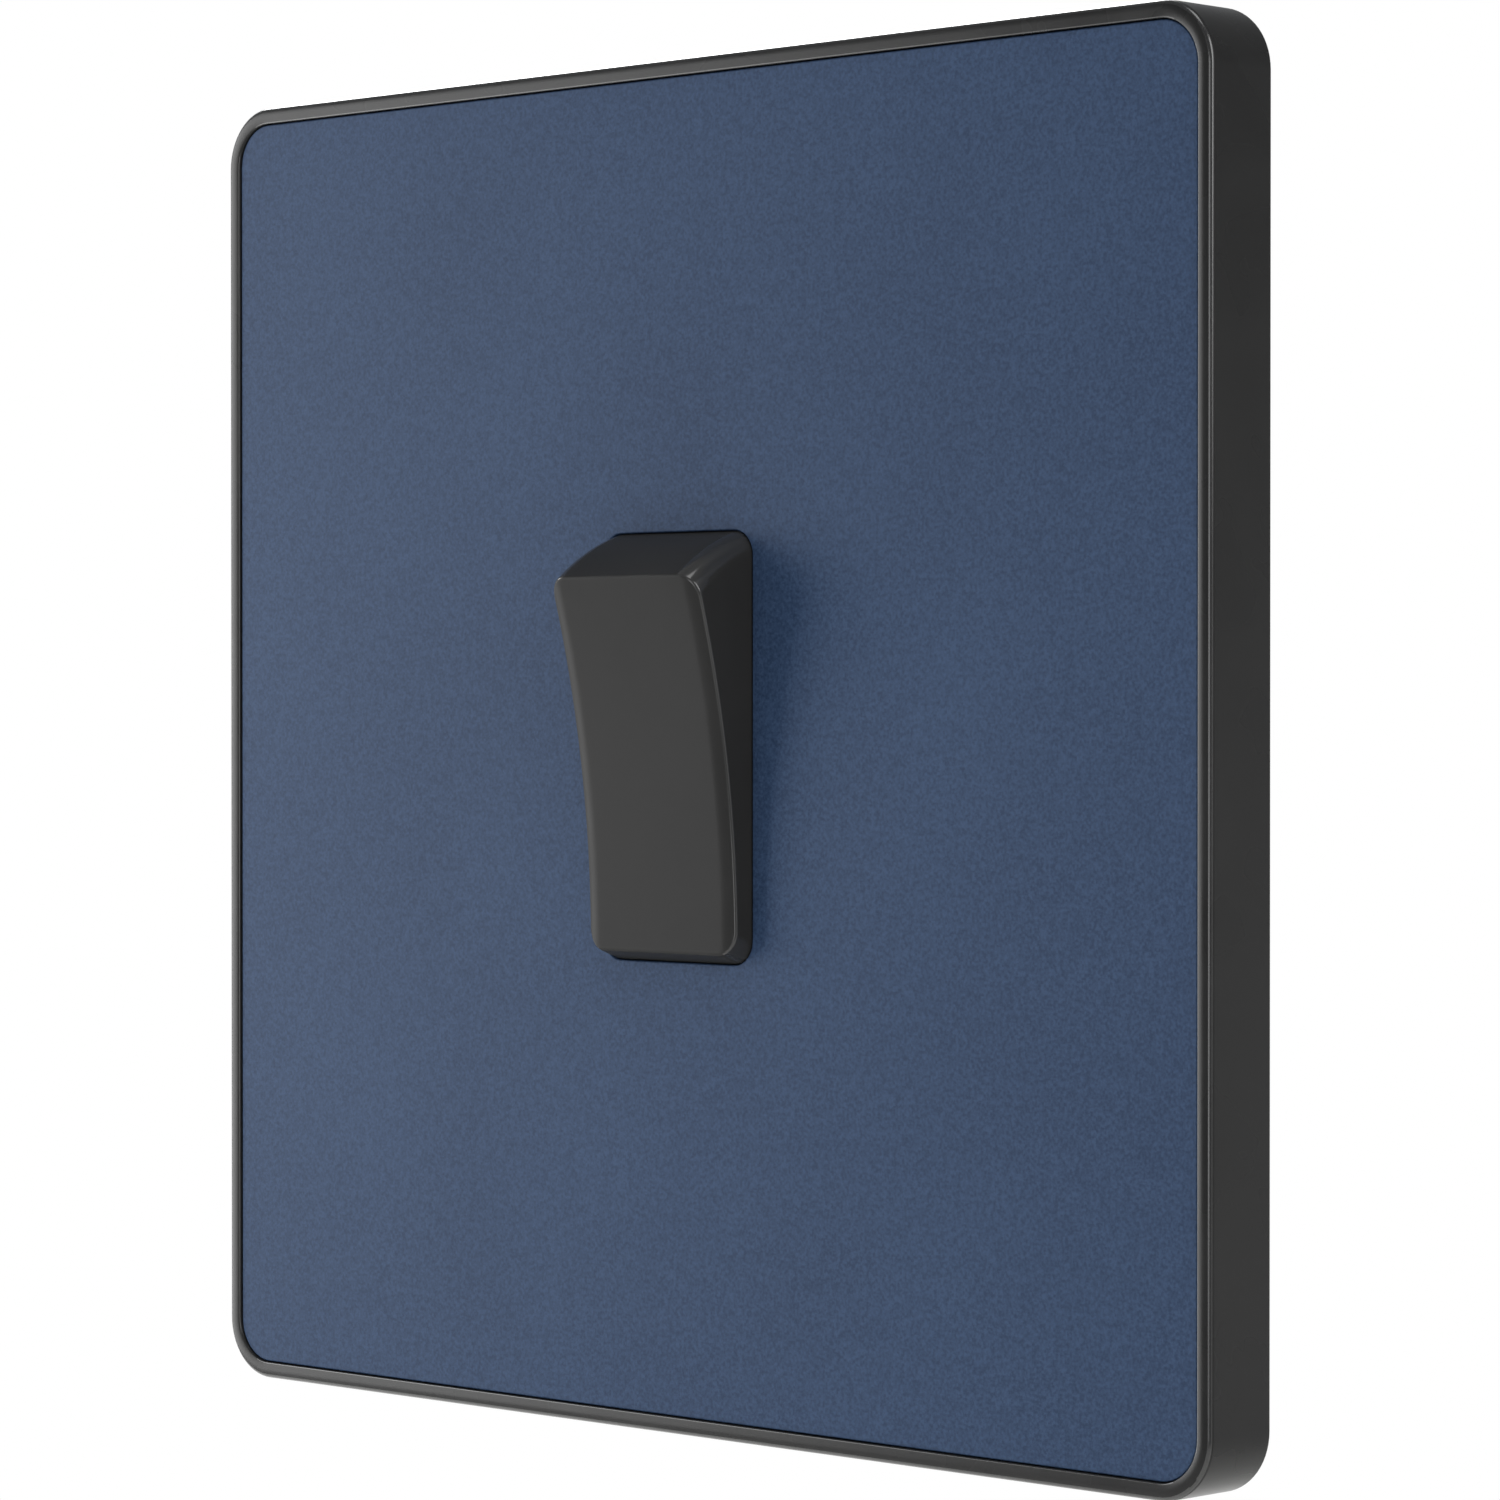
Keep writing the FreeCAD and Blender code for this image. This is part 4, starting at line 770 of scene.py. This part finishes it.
shape = bmesh.new()
rings = [face_ring(HALF_WIDTH, 0.0, 0.0)]
rings += [face_ring(inset, 0.0) for inset in FACE_INSETS]
rings += [face_ring(RIM * (1 - math.cos(a)), RIM * (1 - math.sin(a)))
          for a in [math.radians(90 - 11.25 * step) for step in range(9)]]
rings += [wall_ring(0.0, RIM, share / 10) for share in range(1, 11)]
rings += [wall_ring(WALL, FACE_WALL + 0.3, 1 - share / 6) for share in range(7)]
rings += [face_ring(inset, FACE_WALL) for inset in (WALL + 0.3, 3.0, 5.0)]
rings += [face_ring(HALF_WIDTH, FACE_WALL, 0.0)]
skin(shape, rings)

# One web above the bore and its mirror image below it, so that the plunger has its way free
web = [(-(face_at(z) - FACE_WALL / 2), z) for z in [WEB_START + WEB_STEP * step for step in range(9)]]
web += [(y, math.sqrt((END_RADIUS - WALL / 2) ** 2 - y**2)) for y in (-6.0, -4.0, -2.0, 0.0, SKIRT - 0.02)]
web += [(SKIRT - 0.02, WEB_START)]
slab(shape, web, -WEB_HALF, WEB_HALF)
slab(shape, [(y, -z) for y, z in web], -WEB_HALF, WEB_HALF)
rib_end = HALF_WIDTH - WALL / 2
for height in (-RIB_PLACE, RIB_PLACE):
    block(shape, (-rib_end, ROOF, height - RIB_HALF), (rib_end, 0.0, height + RIB_HALF))
boss = [(0, ROOF), (BOSS_RADIUS, ROOF), (BOSS_RADIUS, BOSS_END - BOSS_CHAMFER)]
boss += [(BOSS_RADIUS - BOSS_CHAMFER, BOSS_END), (BORE_RADIUS + BORE_CHAMFER, BOSS_END)]
boss += [(BORE_RADIUS, BOSS_END - BORE_CHAMFER), (BORE_RADIUS, BORE_TOP), (0, BORE_TOP)]
lathe(shape, boss, segments=64)
for side in (-1, 1):
    pin = [(0, PIN_START), (PIN_RADIUS, PIN_START), (PIN_RADIUS, PIN_END - PIN_CHAMFER)]
    pin += [(PIN_RADIUS - PIN_CHAMFER, PIN_END), (0, PIN_END)]
    lathe(shape, [(radius, side * x) for radius, x in pin], axis="X")
turn = Matrix.Translation(PIVOT) @ Matrix.Rotation(math.radians(REST_TILT), 4, "X")
rocker = complete("rocker_moulding", shape, plastic["rocker"], "rocker", ["rocker"], sharp=40,
                  turn=turn)

# %% Painted highlights on the rocker's edges
RIM_HIGHLIGHT_TURN = (0.12, 0.93)      # the rim is where this share of the normal faces the front
SIDEWAYS = 0.25              # a face counts as turned to a side from this share of its normal
FRONT_HALF = -2.0            # only what lies in front of this, from the pivot, gets the painted highlight


def on_rim_highlight(centre, normal):
    """True where the painted highlight goes: on the face's rounded edge, apart from its lower end, and on the
    four upright corners.
    """
    centre, normal = turn.inverted() @ centre, turn.to_3x3().inverted() @ normal
    to_side = abs(normal.x) > SIDEWAYS
    corner = abs(centre.x) > HALF_WIDTH - CORNER and to_side and abs(normal.z) > SIDEWAYS
    rim = RIM_HIGHLIGHT_TURN[0] < -normal.y < RIM_HIGHLIGHT_TURN[1] and math.hypot(centre.y, centre.z) < END_RADIUS - 0.01
    lower_end = centre.z <= 0 and not to_side
    return centre.y < FRONT_HALF and normal.x * centre.x > 0 and (corner or (rim and not lower_end))


give_highlight_gloss(rocker, plastic["rocker_highlight_gloss"], on_rim_highlight)

# %% [markdown]
# ## Plunger spring
#
# The spring between the rocker's bore and the plunger is one wire on a helix, so a small tree sweeps a circle
# along a spiral curve. It rides on the rocker at one fixed length, though the real one shortens towards the
# closed end of the bore as the plunger slides in.

# %% Coil spring
WIRE, COIL_RADIUS, COILS = 0.35, 1.225, 6.0
PLUNGER_END, PLUNGER_TRAVEL = 1.3, 0.8


def helix(tree, turns, radius, height):
    """A spiral curve that keeps its radius and rises from the origin."""
    sizes = {"Rotations": turns, "Start Radius": radius, "End Radius": radius, "Height": height}
    return add(tree, "GeometryNodeCurveSpiral", {"Resolution": 24, **sizes}).outputs[0]


spring_tree, given = new_tree("coil_spring", "Places", {
    "Wire Radius": 0.000175, "Coil Radius": 0.0012, "Length": 0.0054, "Coils": 6.0, "Facing": (0.0, 1.0, 0.0),
})
coil = helix(spring_tree, given["Coils"], given["Coil Radius"], given["Length"])
wire = add(spring_tree, "GeometryNodeCurvePrimitiveCircle",
           {"Resolution": 12, "Radius": given["Wire Radius"]})
aimed = add(spring_tree, "FunctionNodeAlignRotationToVector", {"Vector": given["Facing"]}, axis="Z")
copies = add(spring_tree, "GeometryNodeInstanceOnPoints",
             {"Points": given["Places"], "Instance": swept(spring_tree, coil, wire.outputs[0], caps=True),
              "Rotation": aimed.outputs[0]})
end_tree(spring_tree, copies.outputs[0], given["Material"])

bore_axis = turn.to_3x3() @ Vector((0, 1, 0))
bore_end = turn @ Vector((0, BORE_TOP, 0))
points = bpy.data.meshes.new("spring_start")
points.from_pydata([(bore_end + bore_axis * WIRE / 2) * MM], [], [])
data = grown("plunger_spring_coil", points, spring_tree, Wire_Radius=WIRE / 2 * MM,
             Coil_Radius=COIL_RADIUS * MM, Length=(PLUNGER_END - BORE_TOP - WIRE) * MM, Coils=COILS,
             Facing=tuple(bore_axis), Material=metals["spring"])
spring = place_piece(data.name, tidied(data), metals["spring"], "rocker", ["plunger_spring"],
                     weighted=False)
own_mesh(spring)

# %% [markdown]
# ## Screws
#
# A slotted screw is a turned head, a slot and a thread, and this switch has ten in four sizes. They repeat,
# so one Geometry Nodes tree makes them all: it builds one screw from its named sizes, with a swept ridge for
# the thread, cuts the slot, and sets a copy on every point of a small mesh. Each copy is turned by a
# fixed-seed random angle, because no fitter leaves every slot level.

# %% Tree for a slotted screw: its head
screw_tree, given = new_tree("slotted_screws", "Places", {
    "Head Radius": 0.0033, "Head Height": 0.002, "Head Chamfer": 0.0004, "Slot Width": 0.0010,
    "Slot Depth": 0.0010, "Neck Radius": 0.00135, "Neck Length": 0.0012, "Thread Radius": 0.00175,
    "Thread Depth": 0.00035, "Pitch": 0.0006, "Length": 0.0192, "Facing": (0.0, -1.0, 0.0), "Seed": 3,
})


def sums(*terms):
    """Adds up (value, factor) pairs with Math nodes."""
    total = 0.0
    for value, factor in terms:
        total = maths(screw_tree, "MULTIPLY_ADD", value, factor, total)
    return total


def turned_bar(radius, start, end, segments):
    """A solid cylinder from one height to another, higher first: its node, and its moved geometry."""
    bar = add(screw_tree, "GeometryNodeMeshCylinder",
              {"Vertices": segments, "Radius": radius, "Depth": sums((start, 1.0), (end, -1.0))},
              fill_type="NGON")
    middle = vector(screw_tree, Z=sums((start, 0.5), (end, 0.5)))
    return bar, moved(screw_tree, bar.outputs["Mesh"], Translation=middle)


# The head stands on z = 0 and rises by its height, and its upper edge is chamfered by a smaller top face
side_height = sums((given["Head Height"], 1.0), (given["Head Chamfer"], -1.0))
head, head_moved = turned_bar(given["Head Radius"], side_height, 0.0, 56)
domed = add(screw_tree, "GeometryNodeExtrudeMesh",
            {"Mesh": head_moved, "Selection": head.outputs["Top"], "Offset Scale": given["Head Chamfer"],
             "Individual": False}, mode="FACES")
top_radius = sums((given["Head Radius"], 1.0), (given["Head Chamfer"], -1.0))
shrink = maths(screw_tree, "DIVIDE", top_radius, given["Head Radius"])
chamfered = add(screw_tree, "GeometryNodeScaleElements",
                {"Geometry": domed.outputs["Mesh"], "Selection": domed.outputs["Top"], "Scale": shrink},
                domain="FACE")
cutter_size = vector(screw_tree, X=sums((given["Head Radius"], 3.0)), Y=given["Slot Width"],
                     Z=sums((given["Slot Depth"], 2.0)))
cutter = add(screw_tree, "GeometryNodeMeshCube", {"Size": cutter_size}).outputs["Mesh"]
cutter_moved = moved(screw_tree, cutter, Translation=vector(screw_tree, Z=given["Head Height"]))
slotted = add(screw_tree, "GeometryNodeMeshBoolean",
              {"Mesh 1": chamfered.outputs[0], "Mesh 2": cutter_moved},
              operation="DIFFERENCE", solver="EXACT")
print("head done,", len(screw_tree.nodes), "nodes so far")

# %% Thread, neck and places
BITE = 0.00005               # the neck reaches this far into the head, and twice as far into the thread
MOST_TURN = 70               # degrees, to either side

neck_end = sums((given["Neck Length"], -1.0))
tip = sums((given["Length"], -1.0))
root_radius = sums((given["Thread Radius"], 1.0), (given["Thread Depth"], -1.0))
neck = turned_bar(given["Neck Radius"], BITE, sums((neck_end, 1.0), (2 * BITE, -1.0)), 32)[1]
core = turned_bar(root_radius, neck_end, tip, 32)[1]

# The ridge's section is a diamond whose outer point is the crest and whose inner half hides in the core
run = sums((neck_end, 1.0), (tip, -1.0), (given["Pitch"], -1.2))
ridge_path = helix(screw_tree, maths(screw_tree, "DIVIDE", run, given["Pitch"]), root_radius, run)
ridge_start = vector(screw_tree, Z=sums((tip, 1.0), (given["Pitch"], 0.6)))
half_pitch = sums((given["Pitch"], 0.43))
diamond = add(screw_tree, "GeometryNodeCurvePrimitiveQuadrilateral",
              {"Width": sums((given["Thread Depth"], 2.0)), "Bottom Height": half_pitch,
               "Top Height": half_pitch}, mode="KITE")
ridge_placed = moved(screw_tree, ridge_path, Translation=ridge_start)
ridge = swept(screw_tree, ridge_placed, diamond.outputs[0], caps=True)
screw_parts = join(screw_tree, slotted.outputs[0], neck, core, ridge)

angle = add(screw_tree, "FunctionNodeRandomValue",
            {2: math.radians(-MOST_TURN), 3: math.radians(MOST_TURN), "Seed": given["Seed"]},
            data_type="FLOAT")
spun = add(screw_tree, "FunctionNodeEulerToRotation", {0: vector(screw_tree, Z=angle.outputs[1])})
aimed = add(screw_tree, "FunctionNodeAlignRotationToVector", {"Vector": given["Facing"]}, axis="Z")
both_turns = add(screw_tree, "FunctionNodeRotateRotation", {0: aimed.outputs[0], 1: spun.outputs[0]},
                 rotation_space="LOCAL")
copies = add(screw_tree, "GeometryNodeInstanceOnPoints",
             {"Points": given["Places"], "Instance": screw_parts, "Rotation": both_turns.outputs[0]})
end_tree(screw_tree, copies.outputs[0], given["Material"])

# %% Set the four kinds of screw
FRONT, BACK = (0.0, -1.0, 0.0), (0.0, 1.0, 0.0)
SMALL_HEAD = {"Head_Radius": 2.1, "Head_Height": 1.595, "Head_Chamfer": 0.3}
CLAMP_SCREW = {**SMALL_HEAD, "Neck_Radius": 1.2, "Neck_Length": 0.3, "Thread_Radius": 1.495,
               "Thread_Depth": 0.3, "Pitch": 0.5, "Length": 3.75}
screw_kinds = {
    "fixing_screws": ([(-30.15, -1.2, 0), (30.15, -1.2, 0)], FRONT, 3,
                      {"Head_Radius": 3.3, "Head_Height": 2.0, "Head_Chamfer": 0.4, "Neck_Radius": 1.35,
                       "Neck_Length": 1.2, "Thread_Radius": 1.745, "Thread_Depth": 0.35, "Pitch": 0.6,
                       "Length": 19.2}),
    "case_screws": ([(x, 18.33, z) for x in (-14.5, 14.5) for z in (-19.5, 19.5)], BACK, 11,
                    {**SMALL_HEAD, "Neck_Radius": 1.05, "Neck_Length": 0.6, "Thread_Radius": 1.095,
                     "Thread_Depth": 0.3, "Pitch": 1.0, "Length": 13.2}),
    "terminal_screws": ([(0, 21.03, 19), (0, 21.03, -19), (14, 21.03, 7)], BACK, 5, CLAMP_SCREW),
    "earth_screw": ([(-24.5, 8.9, -25.5)], BACK, 2, CLAMP_SCREW),
}
for node, (spots, facing, seed, sizes) in screw_kinds.items():
    points = bpy.data.meshes.new(f"{node}_places")
    points.from_pydata([[value * MM for value in spot] for spot in spots], [], [])
    sizes_in_metres = {name: value * MM for name, value in sizes.items()}
    data = grown(f"{node}_threaded", points, screw_tree, Facing=facing, Seed=seed,
                 Material=metals["nickel"], **sizes_in_metres)
    place_piece(data.name, tidied(data), metals["nickel"], "chassis", [node], sharp=32, weighted=False)

# %% [markdown]
# ## Pieces that keep their CAD shape
#
# The housings, terminals, strips and contacts already have the right shapes, so they only get their finishes.

# %% Finishes for the CAD pieces
finishes = {
    "chassis_plate": metals["zinc"], "earth_rivet": metals["zinc"],
    "facia_clips": metals["spring"],
    "module_case": plastic["case"], "module_base": plastic["base"], "plunger": plastic["plunger"],
    "line_one_terminal": metals["brass_bar"], "line_two_terminal": metals["brass_bar"],
    "common_terminal": metals["brass_bar"], "earth_terminal": metals["brass_bar"],
    "line_one_strip": metals["brass_strip"], "line_two_strip": metals["brass_strip"],
    "common_cradle": metals["brass_strip"], "contact_blade": metals["bronze"],
    "moving_contact_tips": metals["silver"], "fixed_contact_tips": metals["silver"],
}
for node, material in finishes.items():
    for material_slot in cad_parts[node].material_slots:
        material_slot.material = material
print("finished", len(finishes), "CAD pieces")
